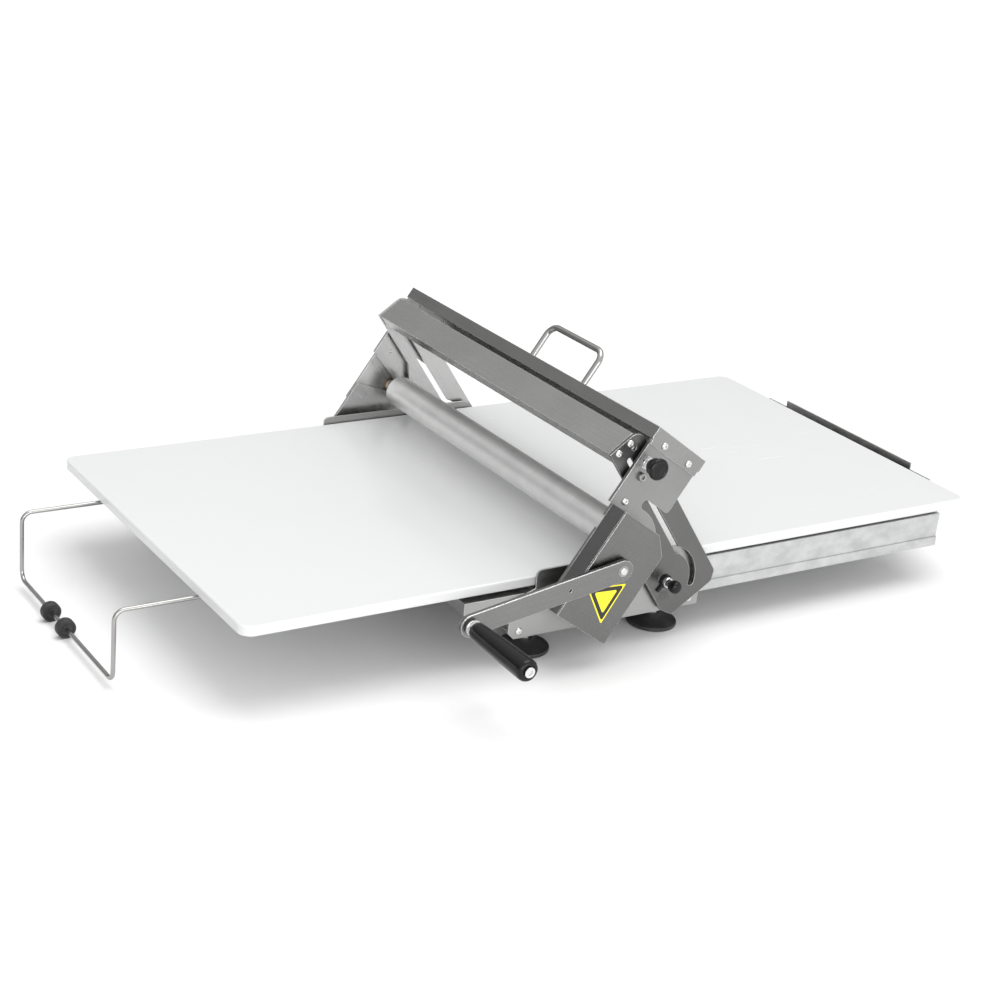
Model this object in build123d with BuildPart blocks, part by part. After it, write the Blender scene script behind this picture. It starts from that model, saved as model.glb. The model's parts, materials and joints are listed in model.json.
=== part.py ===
from build123d import *
import math
import os

os.makedirs("parts", exist_ok=True)

# Hand-cranked bench dough sheeter. A board with the dough on it slides left and right under a
# driven roller. Units are mm. +X runs along the board, +Y points away from the operator and
# +Z is up. The origin is on the table, under the middle of the machine's bounding box.

# ---- driving dimensions: board and table -------------------------------------------------
board_length = 1020.0
board_width = 500.0
board_thick = 12.0
board_corner = 15.0
board_edge_round = 2.0
work_height = 108.0          # table to the top face of the board
roller_from_end = 557.5      # board's right end to the dough roller's axis
board_clear = 0.5            # board to the wire below it
idler_clear = 0.3            # board to the idlers it rolls on

# ---- dough roller and its drive ----------------------------------------------------------
roller_dia = 40.0
roller_wall = 3.0
roller_inset = 2.0           # board edge to the end of the roller
roller_gap = 15.4            # dough thickness in the drawn position
shaft_dia = 12.0
running_fit = 0.05           # radial clearance of every running fit
gear_module = 1.25
roller_teeth = 30
crank_teeth = 24
gear_width = 8.0
gear_backlash = 0.25
gear_room = 2.06             # tips of the roller gear to the inside of the housing
crank_arm_length = 197.0
crank_arm_angle = 189.4      # direction of the arm from the crank axis, in the XZ plane
crank_arm_width = 26.0
crank_arm_thick = 5.0
crank_shaft_dia = 12.0
grip_length = 110.0
grip_dia = 25.0
grip_spindle_dia = 8.0

# ---- side stacks, as distances from the middle plane -------------------------------------
side_gap = 2.0               # board edge to side panel
panel_thick = 2.0
strut_gap = 4.0
strut_thick = 4.0
carrier_gap = 4.0
carrier_thick = 4.0
bearing_plate_thick = 3.0
housing_depth = 24.0
cover_thick = 2.0
sheet = 1.5                  # thin folded sheet
head_height = 2.4            # low button heads

# ---- carrier (tilting roller frame) ------------------------------------------------------
carrier_angle = 55.0         # lean of the carrier plates above the board
carrier_top = 121.0          # along the carrier, from the roller axis
carrier_bottom = -112.0
carrier_left = 55.0          # across the carrier, positive up and to the left
carrier_right = -29.0
pivot_along = -98.1          # carrier pivot, in carrier coordinates
pivot_across = 12.1
guide_along = 66.3           # guide stud
guide_across = 37.1
index_along = 82.4           # index plunger
index_across = 45.0
index_travel = 4.0           # push of the plunger into an index hole

# ---- strut frame -------------------------------------------------------------------------
hub_x = 69.0                 # strut hub, from the roller axis
hub_z = -30.0                # strut hub, from the board's top face
strut_angle = 125.2
slit_width = 7.0
slit_top = 172.0
arc_reach = 7.9              # radius of the arc slot about the hub, beyond the slit line
arc_width = 8.0
tilt_low = -11.5             # carrier travel in degrees
tilt_high = 8.0
swing_ratio = 0.526          # strut swing for each degree of carrier tilt

# ---- base --------------------------------------------------------------------------------
panel_left = -138.5
panel_right = 127.5
panel_low = -72.0
rail_rise = 8.5
flange_width = 58.0
foot_x = (-88.5, 94.5)
foot_inset = 35.0            # board edge to the middle of a foot
foot_dia = 60.0
tray_end = -45.0             # tray's right end, from the board's right end
tray_top = -13.5
tray_seam = -45.0
pan_bottom = -57.0
shelf_left = -198.0
shelf_top = -18.0
idler_dia = 28.0
idler_x = (-24.0, 24.0)
idler_journal = 10.0

# ---- pull-out supports -------------------------------------------------------------------
wire_dia = 5.0
wire_reach = 92.0            # cross rod beyond the board's left end
wire_y = 137.0
wire_bend = 12.0
wheel_dia = 22.0
wheel_width = 10.0
wheel_offsets = (-1.0, 44.0)
lip_reach = 20.0
plate_width = 333.0
lip_width = 256.0
extension_z = -30.0
extension_inner = 270.0      # inner end of the extension plate, from the roller axis

# ---- places worked out from the sizes ----------------------------------------------------
board_right_x = (board_length + wire_reach + wheel_dia / 2 - lip_reach) / 2
roller_x = board_right_x - roller_from_end
board_left = -(board_length - roller_from_end)
board_right = roller_from_end
roller_lift = roller_gap + roller_dia / 2
roller_half = board_width / 2 - roller_inset
foot_y = board_width / 2 - foot_inset
panel_in = board_width / 2 + side_gap
panel_out = panel_in + panel_thick
strut_in = panel_out + strut_gap
strut_out = strut_in + strut_thick
carrier_in = strut_out + carrier_gap
carrier_out = carrier_in + carrier_thick
bearing_out = carrier_out + bearing_plate_thick
cover_in = carrier_out + housing_depth
cover_out = cover_in + cover_thick
arm_in = cover_out + 4.0
arm_out = arm_in + crank_arm_thick
grip_start = arm_out + 2.5
grip_end = grip_start + grip_length
near_reach = grip_end + 2.0
far_reach = bearing_out + head_height
mid_y = (near_reach - far_reach) / 2
gear_centres = gear_module * (roller_teeth + crank_teeth) / 2
crank_direction = 214.7      # from the roller axis to the crank axis
crank_dx = gear_centres * math.cos(math.radians(crank_direction))
crank_dz = roller_lift + gear_centres * math.sin(math.radians(crank_direction))


def side_y(side, distance, thick=0.0):
    """Y of a plate's outer (near) or inner-most (far) start face; it is extruded towards -Y."""
    return mid_y - distance if side == "near" else mid_y + distance + thick


def upright(y):
    """Vertical plane facing the operator; local x is +X from the roller, local y is +Z from the board."""
    return Plane(origin=(roller_x, y, work_height), x_dir=(1, 0, 0), z_dir=(0, -1, 0))


def carrier_plane(y):
    lean = math.radians(carrier_angle)
    centre = (roller_x, y, work_height + roller_lift)
    return Plane(origin=centre, x_dir=(math.cos(lean), 0, math.sin(lean)), z_dir=(0, -1, 0))


def strut_plane(y):
    lean = math.radians(strut_angle)
    centre = (roller_x + hub_x, y, work_height + hub_z)
    return Plane(origin=centre, x_dir=(math.cos(lean), 0, math.sin(lean)), z_dir=(0, -1, 0))


def turn(point, centre, degrees):
    angle = math.radians(degrees)
    dx = point[0] - centre[0]
    dz = point[1] - centre[1]
    x = centre[0] + dx * math.cos(angle) - dz * math.sin(angle)
    return x, centre[1] + dx * math.sin(angle) + dz * math.cos(angle)


def from_carrier(along, across):
    """Carrier coordinates to (x from the roller, z from the board)."""
    lean = math.radians(carrier_angle)
    dx = along * math.cos(lean) - across * math.sin(lean)
    return dx, roller_lift + along * math.sin(lean) + across * math.cos(lean)


def to_strut(point):
    """(x from the roller, z from the board) to strut coordinates about the hub."""
    lean = math.radians(strut_angle)
    dx = point[0] - hub_x
    dz = point[1] - hub_z
    return dx * math.cos(lean) + dz * math.sin(lean), dz * math.cos(lean) - dx * math.sin(lean)


def tooth_points(teeth, phase):
    """Involute gear outline, one tooth centred on the phase angle."""
    pitch = gear_module * teeth / 2
    base = pitch * math.cos(math.radians(20))
    at_pitch = math.acos(base / pitch)
    half_pitch = math.pi / (2 * teeth) - gear_backlash / (2 * pitch)
    radii = [pitch - 1.25 * gear_module, base * 1.005, pitch, pitch + 0.55 * gear_module, pitch + 0.95 * gear_module]
    points = []
    for number in range(teeth):
        middle = math.radians(phase) + number * 2 * math.pi / teeth
        flank = []
        for radius in radii:
            roll = math.acos(min(1.0, base / max(radius, base)))
            half = half_pitch + math.tan(at_pitch) - at_pitch - math.tan(roll) + roll
            flank.append((radius, half))
        for radius, half in flank:
            points.append((radius * math.cos(middle - half), radius * math.sin(middle - half)))
        for radius, half in reversed(flank):
            points.append((radius * math.cos(middle + half), radius * math.sin(middle + half)))
    return points


def save(part, name):
    part.label = name
    export_step(part, "parts/" + name + ".step")


sides = ("near", "far")
pivot_point = from_carrier(pivot_along, pivot_across)
guide_point = from_carrier(guide_along, guide_across)
index_point = from_carrier(index_along, index_across)
carrier_pivot = (pivot_along, pivot_across)

# ==== board ===============================================================================
with BuildPart() as board:
    board_centre_x = roller_x + (board_left + board_right) / 2
    with BuildSketch(Plane.XY.offset(work_height - board_thick)):
        with Locations((board_centre_x, mid_y)):
            RectangleRounded(board_length, board_width, board_corner)
    extrude(amount=board_thick)
    rims = board.edges().filter_by(Plane.XY)
    fillet(rims, board_edge_round)
save(board.part, "dough_board")

# ==== base: side panels with rail, bottom flange and tie bars =============================
tie_x = (panel_left + 14.0, panel_right - 14.0)
tie_dia = 11.0
tie_z = pan_bottom - 0.5 - tie_dia / 2
bush_dia = 16.0
idler_z = -board_thick - idler_clear - idler_dia / 2
hub_bore = 10.0
pivot_bore = 10.0
for side in sides:
    inward = -1 if side == "near" else 1
    with BuildPart() as panel:
        with BuildSketch(upright(side_y(side, panel_in, panel_thick))):
            with BuildLine():
                Polyline(
                    (panel_left, panel_low),
                    (panel_right, panel_low),
                    (panel_right, tray_top),
                    (panel_right - 20, rail_rise),
                    (panel_left + 31, rail_rise),
                    (panel_left + 31, tray_top),
                    (panel_left, shelf_top - 6),
                    close=True,
                )
            make_face()
            fillet(vertices().group_by(Axis.Y)[-1], 7)
            chamfer(vertices().group_by(Axis.Y)[0].sort_by(Axis.X)[0], 8)
            with Locations((hub_x, hub_z)):
                Circle(hub_bore / 2, mode=Mode.SUBTRACT)
            with Locations(pivot_point):
                Circle(pivot_bore / 2, mode=Mode.SUBTRACT)
            with Locations([(x, idler_z) for x in idler_x]):
                Circle(bush_dia / 2, mode=Mode.SUBTRACT)
            with Locations([(x, tie_z) for x in tie_x]):
                Circle(2.6, mode=Mode.SUBTRACT)
        extrude(amount=panel_thick)
        flange_mid = panel_in - flange_width / 2
        with BuildSketch(Plane.XY.offset(work_height + panel_low)):
            with Locations((roller_x + (panel_left + panel_right) / 2, mid_y + inward * flange_mid)):
                Rectangle(panel_right - panel_left - 24, flange_width)
            with Locations([(roller_x + x, mid_y + inward * foot_y) for x in foot_x]):
                Circle(4.2, mode=Mode.SUBTRACT)
        extrude(amount=panel_thick)
    save(panel.part, side + "_side_panel")

with BuildPart() as ties:
    with BuildSketch(upright(mid_y + panel_in)):
        with Locations([(x, tie_z) for x in tie_x]):
            Circle(tie_dia / 2)
            Circle(2.1, mode=Mode.SUBTRACT)
    extrude(amount=2 * panel_in)
save(ties.part, "base_tie_bars")

with BuildPart() as tie_screws:
    for y, direction in ((side_y("near", panel_out), 1), (side_y("far", panel_out), -1)):
        with BuildSketch(upright(y)):
            with Locations([(x, tie_z) for x in tie_x]):
                Circle(4.4)
        extrude(amount=direction * head_height)
        with BuildSketch(upright(y)):
            with Locations([(x, tie_z) for x in tie_x]):
                Circle(2.0)
        extrude(amount=-direction * 16)
        with BuildSketch(upright(y + -direction * head_height)):
            with Locations([(x, tie_z) for x in tie_x]):
                RegularPolygon(1.6, 6)
        extrude(amount=-direction * 1.4, mode=Mode.SUBTRACT)
save(tie_screws.part, "tie_bar_screws")

# ==== tray: side rails, bottom pan and left shelf =========================================
rail_start = shelf_left + 92.0
rail_end = board_right + tray_end
rail_lip = 12.0
for side in sides:
    inward = -1 if side == "near" else 1
    with BuildPart() as rail:
        with BuildSketch(upright(side_y(side, panel_in - sheet, sheet))):
            with Locations(((rail_start + rail_end) / 2, (tray_top + tray_seam) / 2)):
                Rectangle(rail_end - rail_start, tray_top - tray_seam)
            with Locations([(x, idler_z) for x in idler_x] + [(hub_x, hub_z), pivot_point]):
                Circle(12.5, mode=Mode.SUBTRACT)
        extrude(amount=sheet)
        for level in (tray_top - sheet, tray_seam):
            with BuildSketch(Plane.XY.offset(work_height + level)):
                middle = mid_y + inward * (panel_in - rail_lip / 2)
                with Locations((roller_x + (hub_x + 45 + rail_end) / 2, middle)):
                    Rectangle(rail_end - hub_x - 45, rail_lip)
            extrude(amount=sheet)
    save(rail.part, side + "_tray_rail")

with BuildPart() as pan:
    with BuildSketch(Plane.YZ.offset(roller_x + panel_right + 1.0)):
        with BuildLine():
            half = panel_in + sheet
            low = work_height + pan_bottom
            high = work_height + tray_seam
            Polyline(
                (mid_y - half, high),
                (mid_y - half, low),
                (mid_y + half, low),
                (mid_y + half, high),
                (mid_y + half - sheet, high),
                (mid_y + half - sheet, low + sheet),
                (mid_y - half + sheet, low + sheet),
                (mid_y - half + sheet, high),
                close=True,
            )
        make_face()
    extrude(amount=rail_end - panel_right - 1.0)
    with BuildSketch(Plane.XY.offset(work_height + pan_bottom)):
        with Locations((roller_x + (rail_start + panel_right) / 2, mid_y)):
            Rectangle(panel_right - rail_start + 4, 2 * panel_in)
    extrude(amount=sheet)
save(pan.part, "tray_pan")

with BuildPart() as shelf:
    shelf_right = rail_start - 2.0
    with BuildSketch(Plane.XY.offset(work_height + shelf_top - sheet)):
        with Locations((roller_x + (shelf_left + shelf_right) / 2, mid_y)):
            Rectangle(shelf_right - shelf_left, 2 * panel_in)
    extrude(amount=sheet)
    with BuildSketch(Plane.YZ.offset(roller_x + shelf_left)):
        with Locations((mid_y, work_height + shelf_top - 7.0)):
            Rectangle(2 * panel_in, 14.0)
    extrude(amount=sheet)
    for y in (mid_y - panel_in + sheet, mid_y + panel_in):
        with BuildSketch(upright(y)):
            with Locations(((shelf_left + shelf_right) / 2, shelf_top - 7.0)):
                Rectangle(shelf_right - shelf_left, 14.0)
            with Locations(((panel_left + shelf_right) / 2, shelf_top - 13.0)):
                Rectangle(shelf_right - panel_left, 26.0)
        extrude(amount=sheet)
save(shelf.part, "left_shelf")

# ==== feet ================================================================================
foot_places = [(roller_x + x, mid_y + s * foot_y) for x in foot_x for s in (-1, 1)]
foot_height = 14.0
with BuildPart() as feet:
    for place in foot_places:
        with BuildSketch(Plane(origin=(place[0], place[1], 0), x_dir=(1, 0, 0), z_dir=(0, -1, 0))):
            with BuildLine():
                Polyline(
                    (0, 0),
                    (foot_dia / 2 - 2, 0),
                    (foot_dia / 2, 2),
                    (foot_dia / 2, 5),
                    (foot_dia / 2 - 12, 9),
                    (10, foot_height),
                    (0, foot_height),
                    close=True,
                )
            make_face()
        revolve(axis=Axis((place[0], place[1], 0), (0, 0, 1)))
    with Locations([(x, y, foot_height) for x, y in foot_places]):
        Hole(3.9, depth=9)
save(feet.part, "rubber_feet")

stem_bottom = foot_height - 9.0
stem_top = work_height + panel_low + panel_thick + 12.0
nut_thick = 6.0
nut_levels = (foot_height, work_height + panel_low - nut_thick, work_height + panel_low + panel_thick)
with BuildPart() as stems:
    with BuildSketch(Plane.XY.offset(stem_bottom)):
        with Locations(foot_places):
            Circle(3.9)
    extrude(amount=stem_top - stem_bottom)
    for level in nut_levels:
        with BuildSketch(Plane.XY.offset(level)):
            with Locations(foot_places):
                RegularPolygon(7.5, 6)
        extrude(amount=nut_thick)
save(stems.part, "foot_studs")

# ==== idlers under the board ==============================================================
idler_half = panel_in - 6.0
groove_half = 7.0
neck_dia = 13.0
for number, x in enumerate(idler_x):
    with BuildPart() as idler:
        with BuildSketch(upright(mid_y + idler_half)):
            with Locations((x, idler_z)):
                Circle(idler_dia / 2)
        extrude(amount=2 * idler_half)
        for y in (mid_y - wire_y, mid_y + wire_y):
            with BuildSketch(upright(y + groove_half)):
                with Locations((x, idler_z)):
                    Circle(idler_dia / 2 + 1)
                    Circle(neck_dia / 2, mode=Mode.SUBTRACT)
            extrude(amount=2 * groove_half, mode=Mode.SUBTRACT)
        with BuildSketch(upright(mid_y + panel_out)):
            with Locations((x, idler_z)):
                Circle(idler_journal / 2)
        extrude(amount=2 * panel_out)
    save(idler.part, ("left", "right")[number] + "_idler_roller")

with BuildPart() as idler_bushes:
    for side in sides:
        for distance, thick, dia in ((panel_in - 3.0, 3.0, 20.0), (panel_in, panel_thick, bush_dia)):
            with BuildSketch(upright(side_y(side, distance, thick))):
                with Locations([(x, idler_z) for x in idler_x]):
                    Circle(dia / 2)
                    Circle(idler_journal / 2 + running_fit, mode=Mode.SUBTRACT)
            extrude(amount=thick)
save(idler_bushes.part, "idler_bushes")

# ==== pivot studs on the base =============================================================
hub_stud_end = strut_out - 0.4
with BuildPart() as hub_studs:
    for side in sides:
        with BuildSketch(upright(side_y(side, panel_in - 3.0, hub_stud_end - panel_in + 3.0))):
            with Locations((hub_x, hub_z)):
                Circle(hub_bore / 2)
        extrude(amount=hub_stud_end - panel_in + 3.0)
        with BuildSketch(upright(side_y(side, panel_in - 6.0, 6.0))):
            with Locations((hub_x, hub_z)):
                RegularPolygon(8.5, 6)
        extrude(amount=6.0)
save(hub_studs.part, "strut_hub_studs")

pivot_spacer = carrier_in - panel_out - 0.3
with BuildPart() as pivot_studs:
    for side in sides:
        with BuildSketch(upright(side_y(side, panel_in - 3.0, carrier_out - panel_in + 3.0))):
            with Locations(pivot_point):
                Circle(pivot_bore / 2)
        extrude(amount=carrier_out - panel_in + 3.0)
        with BuildSketch(upright(side_y(side, panel_in - 6.0, 6.0))):
            with Locations(pivot_point):
                RegularPolygon(8.5, 6)
        extrude(amount=6.0)
save(pivot_studs.part, "carrier_pivot_studs")

with BuildPart() as pivot_spacers:
    for side in sides:
        with BuildSketch(upright(side_y(side, panel_out, strut_gap - 0.3))):
            with Locations((hub_x, hub_z)):
                Circle(12)
                Circle(hub_bore / 2, mode=Mode.SUBTRACT)
        extrude(amount=strut_gap - 0.3)
        with BuildSketch(upright(side_y(side, panel_out, pivot_spacer))):
            with Locations(pivot_point):
                Circle(10)
                Circle(pivot_bore / 2, mode=Mode.SUBTRACT)
        extrude(amount=pivot_spacer)
save(pivot_spacers.part, "pivot_spacers")

# ==== strut plates with slit and arc slot =================================================
slit_offset = to_strut(guide_point)[1]
slit_margin = 28.9
strut_right = slit_offset - slit_margin
strut_left = -14.0
foot_left = 22.0
ear_top = 196.0
ear_round = 14.0
strut_round = 6.0
ear_screws = ((ear_top - 6.0, strut_left - 9.6), (ear_top - 6.0, strut_left - 27.3))
arc_radius = arc_reach - slit_offset
arc_start = math.degrees(math.asin(-slit_offset / arc_radius))
arc_sweep = 84.0
index_steps = (tilt_low, tilt_low / 2, 0.0, tilt_high)
for side in sides:
    with BuildPart() as strut:
        with BuildSketch(strut_plane(side_y(side, strut_in, strut_thick))):
            with BuildLine():
                Polyline(
                    (ear_top, strut_left),
                    (110, strut_left),
                    (44, foot_left),
                    (-30, foot_left),
                    (-46, 14),
                    (-49, -50),
                    (-39, strut_right),
                    (ear_top, strut_right),
                    close=True,
                )
            make_face()
            fillet(vertices().sort_by_distance((ear_top, strut_right))[0], ear_round)
            low_corners = vertices().group_by(Axis.X)[0] + vertices().sort_by_distance((-39, strut_right))[:1]
            fillet(low_corners, strut_round)
            Circle(hub_bore / 2 + running_fit, mode=Mode.SUBTRACT)
            with Locations(ear_screws):
                Circle(2.1, mode=Mode.SUBTRACT)
            slit_bottom = math.sqrt(arc_radius ** 2 - slit_offset ** 2)
            with Locations(((slit_top + slit_bottom) / 2, slit_offset)):
                SlotCenterToCenter(slit_top - slit_bottom, slit_width, mode=Mode.SUBTRACT)
            with BuildLine() as arc_line:
                CenterArc((0, 0), arc_radius, -arc_start - arc_sweep, arc_sweep)
            SlotArc(arc_line.wires()[0], arc_width, mode=Mode.SUBTRACT)
            for step in index_steps:
                moved = turn(index_point, pivot_point, step)
                back = turn(moved, (hub_x, hub_z), -swing_ratio * step)
                with Locations(to_strut(back)):
                    Circle(3.4, mode=Mode.SUBTRACT)
        extrude(amount=strut_thick)
    save(strut.part, side + "_strut_plate")

# ==== strut crossbar: channel between the strut ears ======================================
channel_sheet = 2.0
bar_left = strut_left - 1.0
bar_right = strut_left - 37.0
bar_depth = 16.0
with BuildPart() as strut_bar:
    with BuildSketch(strut_plane(mid_y + strut_in)):
        with BuildLine():
            Polyline(
                (ear_top - bar_depth, bar_left),
                (ear_top, bar_left),
                (ear_top, bar_right),
                (ear_top - bar_depth, bar_right),
                (ear_top - bar_depth, bar_right + channel_sheet),
                (ear_top - channel_sheet, bar_right + channel_sheet),
                (ear_top - channel_sheet, bar_left - channel_sheet),
                (ear_top - bar_depth, bar_left - channel_sheet),
                close=True,
            )
        make_face()
    extrude(amount=2 * strut_in)
    for side in sides:
        with BuildSketch(strut_plane(side_y(side, strut_in - channel_sheet, channel_sheet))):
            with Locations((ear_top - bar_depth / 2, (bar_left + bar_right) / 2)):
                Rectangle(bar_depth, bar_left - bar_right)
        extrude(amount=channel_sheet)
        with BuildSketch(strut_plane(side_y(side, strut_in - channel_sheet, channel_sheet))):
            with Locations(ear_screws):
                Circle(2.1)
        extrude(amount=channel_sheet, mode=Mode.SUBTRACT)
save(strut_bar.part, "strut_crossbar")


def button_screws(plane_at, side, seat, reach, places, head=4.4, shank=2.0, inside=False):
    """Button heads on the face at the seat distance; the heads point outwards unless they are inside."""
    outward = 1 if (side == "near") != inside else -1
    with BuildPart() as screws:
        with BuildSketch(plane_at(side_y(side, seat))):
            with Locations(places):
                Circle(head)
        extrude(amount=outward * head_height, taper=12)
        with BuildSketch(plane_at(side_y(side, seat))):
            with Locations(places):
                Circle(shank)
        extrude(amount=-outward * reach)
        with BuildSketch(plane_at(side_y(side, seat) - outward * head_height)):
            with Locations(places):
                RegularPolygon(head * 0.38, 6)
        extrude(amount=-outward * head_height * 0.55, mode=Mode.SUBTRACT)
    return screws.part


def both_sides(plane_at, seat, reach, places):
    return Compound(children=[button_screws(plane_at, side, seat, reach, places) for side in sides])


save(both_sides(strut_plane, strut_out, strut_thick + channel_sheet, ear_screws), "strut_bar_screws")

# ==== carrier plates ======================================================================
notch_low = 37.5              # notch between the head of the plate and its tongue
notch_high = 49.5
notch_depth = 6.5
head_round = 4.5
cover_left = carrier_left - 5.5
cover_right = carrier_right - 5.5
cover_top = gear_module * (roller_teeth / 2 + 0.95) + gear_room + cover_thick
chamfer_side = 22.5
chamfer_down = 18.5
tongue_end = (cover_top, carrier_right - 2.0)
shaft_slot = 16.0
crank_radians = math.radians(crank_direction - carrier_angle)
crank_place = (gear_centres * math.cos(crank_radians), gear_centres * math.sin(crank_radians))
bar_screws = ((carrier_top - 12.0, carrier_left - 20.0), (carrier_top - 12.0, carrier_right + 18.5))
near_plate_screws = ((14.0, -14.0), (-14.0, -14.0), (14.0, 36.0), (-14.0, 36.0))
far_plate_screws = ((37.0, 34.5), (-34.0, 34.5), (27.0, -14.0), (-34.0, -14.0))
guard_screw = (cover_top + 9.4, carrier_left - 18.6)
post_inset = 9.0
post_along = carrier_bottom + post_inset
cover_screw_places = ((post_along, cover_left - post_inset), (post_along, cover_right + post_inset))
for side in sides:
    with BuildPart() as carrier:
        with BuildSketch(carrier_plane(side_y(side, carrier_in, carrier_thick))):
            with BuildLine():
                Polyline(
                    (carrier_bottom, cover_left),
                    (cover_top, cover_left),
                    (cover_top, carrier_left),
                    (carrier_top, carrier_left),
                    (carrier_top, carrier_right),
                    (notch_high, carrier_right),
                    (notch_high, notch_depth),
                    (notch_low, notch_depth),
                )
                ThreePointArc((notch_low, notch_depth), (33.8, -16.0), tongue_end)
                Polyline(
                    tongue_end,
                    (cover_top - chamfer_down, cover_right),
                    (carrier_bottom, cover_right),
                    (carrier_bottom, cover_left),
                )
            make_face()
            fillet(vertices().sort_by_distance((notch_high, carrier_right))[0], head_round)
            with Locations(((notch_low + notch_high) / 2, notch_depth)):
                Circle((notch_high - notch_low) / 2, mode=Mode.SUBTRACT)
            if side == "near":
                with Locations((0, (cover_left + 2.0) / 2)):
                    Rectangle(shaft_slot, cover_left + 2.0, mode=Mode.SUBTRACT)
                with Locations(crank_place):
                    Circle(8.0, mode=Mode.SUBTRACT)
                with Locations((index_along, index_across)):
                    Circle(5.0, mode=Mode.SUBTRACT)
                with Locations(guard_screw, *cover_screw_places):
                    Circle(2.1, mode=Mode.SUBTRACT)
            else:
                with BuildLine():
                    Polyline(
                        (shaft_slot / 2, 0),
                        (22, cover_left + 1),
                        (-22, cover_left + 1),
                        (-shaft_slot / 2, 0),
                        close=True,
                    )
                make_face(mode=Mode.SUBTRACT)
            Circle(shaft_slot / 2, mode=Mode.SUBTRACT)
            with Locations(carrier_pivot):
                Circle(pivot_bore / 2 + running_fit, mode=Mode.SUBTRACT)
            with Locations((guide_along, guide_across)):
                Circle(2.5, mode=Mode.SUBTRACT)
            with Locations(bar_screws):
                Circle(2.1, mode=Mode.SUBTRACT)
            with Locations(near_plate_screws if side == "near" else far_plate_screws):
                Circle(2.1, mode=Mode.SUBTRACT)
        extrude(amount=carrier_thick)
    save(carrier.part, side + "_carrier_plate")

# ==== carrier crossbar with its handle ====================================================
web_top = carrier_top + channel_sheet
bar_flange = 15.0
tab_depth = 22.0
handle_across = 0.0
handle_half = 56.0
handle_dia = 8.0
handle_rise = 50.0
handle_bend = 14.0
with BuildPart() as carrier_bar:
    with BuildSketch(carrier_plane(mid_y + carrier_out + channel_sheet)):
        with Locations((carrier_top + channel_sheet / 2, (carrier_left + carrier_right) / 2)):
            Rectangle(channel_sheet, carrier_left - carrier_right + 2 * channel_sheet)
        for across in (carrier_left + channel_sheet / 2, carrier_right - channel_sheet / 2):
            with Locations((web_top - bar_flange / 2, across)):
                Rectangle(bar_flange, channel_sheet)
    extrude(amount=2 * (carrier_out + channel_sheet))
    for side in sides:
        with BuildSketch(carrier_plane(side_y(side, carrier_out, channel_sheet))):
            with Locations((web_top - tab_depth / 2, (carrier_left + carrier_right) / 2)):
                Rectangle(tab_depth, carrier_left - carrier_right)
        extrude(amount=channel_sheet)
        with BuildSketch(carrier_plane(side_y(side, carrier_out, channel_sheet))):
            with Locations(bar_screws):
                Circle(2.1)
        extrude(amount=channel_sheet, mode=Mode.SUBTRACT)
    for y in (mid_y - handle_half, mid_y + handle_half):
        with BuildSketch(carrier_plane(y + handle_dia / 2)):
            with Locations((carrier_top + channel_sheet / 2, handle_across)):
                Rectangle(channel_sheet * 2, handle_dia)
        extrude(amount=handle_dia, mode=Mode.SUBTRACT)
save(carrier_bar.part, "carrier_crossbar")
bar_screw_reach = channel_sheet + carrier_thick
save(both_sides(carrier_plane, carrier_out + channel_sheet, bar_screw_reach, bar_screws), "carrier_bar_screws")


def carrier_point(along, across, y):
    dx, dz = from_carrier(along, across)
    return roller_x + dx, y, work_height + dz


with BuildPart() as handle:
    with BuildLine() as handle_path:
        FilletPolyline(
            carrier_point(carrier_top - 6.0, handle_across, mid_y - handle_half),
            carrier_point(web_top + handle_rise, handle_across, mid_y - handle_half),
            carrier_point(web_top + handle_rise, handle_across, mid_y + handle_half),
            carrier_point(carrier_top - 6.0, handle_across, mid_y + handle_half),
            radius=handle_bend,
        )
    with BuildSketch(Plane(origin=handle_path.line @ 0, z_dir=handle_path.line % 0)):
        Circle(handle_dia / 2)
    sweep()
save(handle.part, "lift_handle")

lean = math.radians(carrier_angle)
carrier_up = (math.cos(lean), 0, math.sin(lean))
with BuildPart() as handle_nuts:
    for y in (mid_y - handle_half, mid_y + handle_half):
        for along in (web_top, carrier_top - 5.0):
            seat = carrier_point(along, handle_across, y)
            with BuildSketch(Plane(origin=seat, x_dir=(0, 1, 0), z_dir=carrier_up)):
                RegularPolygon(7.5, 6)
                Circle(handle_dia / 2, mode=Mode.SUBTRACT)
            extrude(amount=5.0)
save(handle_nuts.part, "handle_nuts")

# ==== gear housing and cover ==============================================================
cover_outline = (
    (carrier_bottom, cover_left),
    (cover_top, cover_left),
    (cover_top, cover_right + chamfer_side),
    (cover_top - chamfer_down, cover_right),
    (carrier_bottom, cover_right),
)
with BuildPart() as housing:
    with BuildSketch(carrier_plane(side_y("near", carrier_out))):
        with BuildLine():
            Polyline(*cover_outline, close=True)
        make_face()
        offset(amount=-cover_thick, mode=Mode.SUBTRACT, kind=Kind.INTERSECTION)
    extrude(amount=housing_depth)
save(housing.part, "gear_housing")

cover_bush_dia = 20.0
post_thread = 12.0
with BuildPart() as cover:
    with BuildSketch(carrier_plane(side_y("near", cover_in))):
        with BuildLine():
            Polyline(*cover_outline, close=True)
        make_face()
        with Locations(crank_place):
            Circle(cover_bush_dia / 2, mode=Mode.SUBTRACT)
    extrude(amount=cover_thick)
save(cover.part, "gear_cover")

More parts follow.
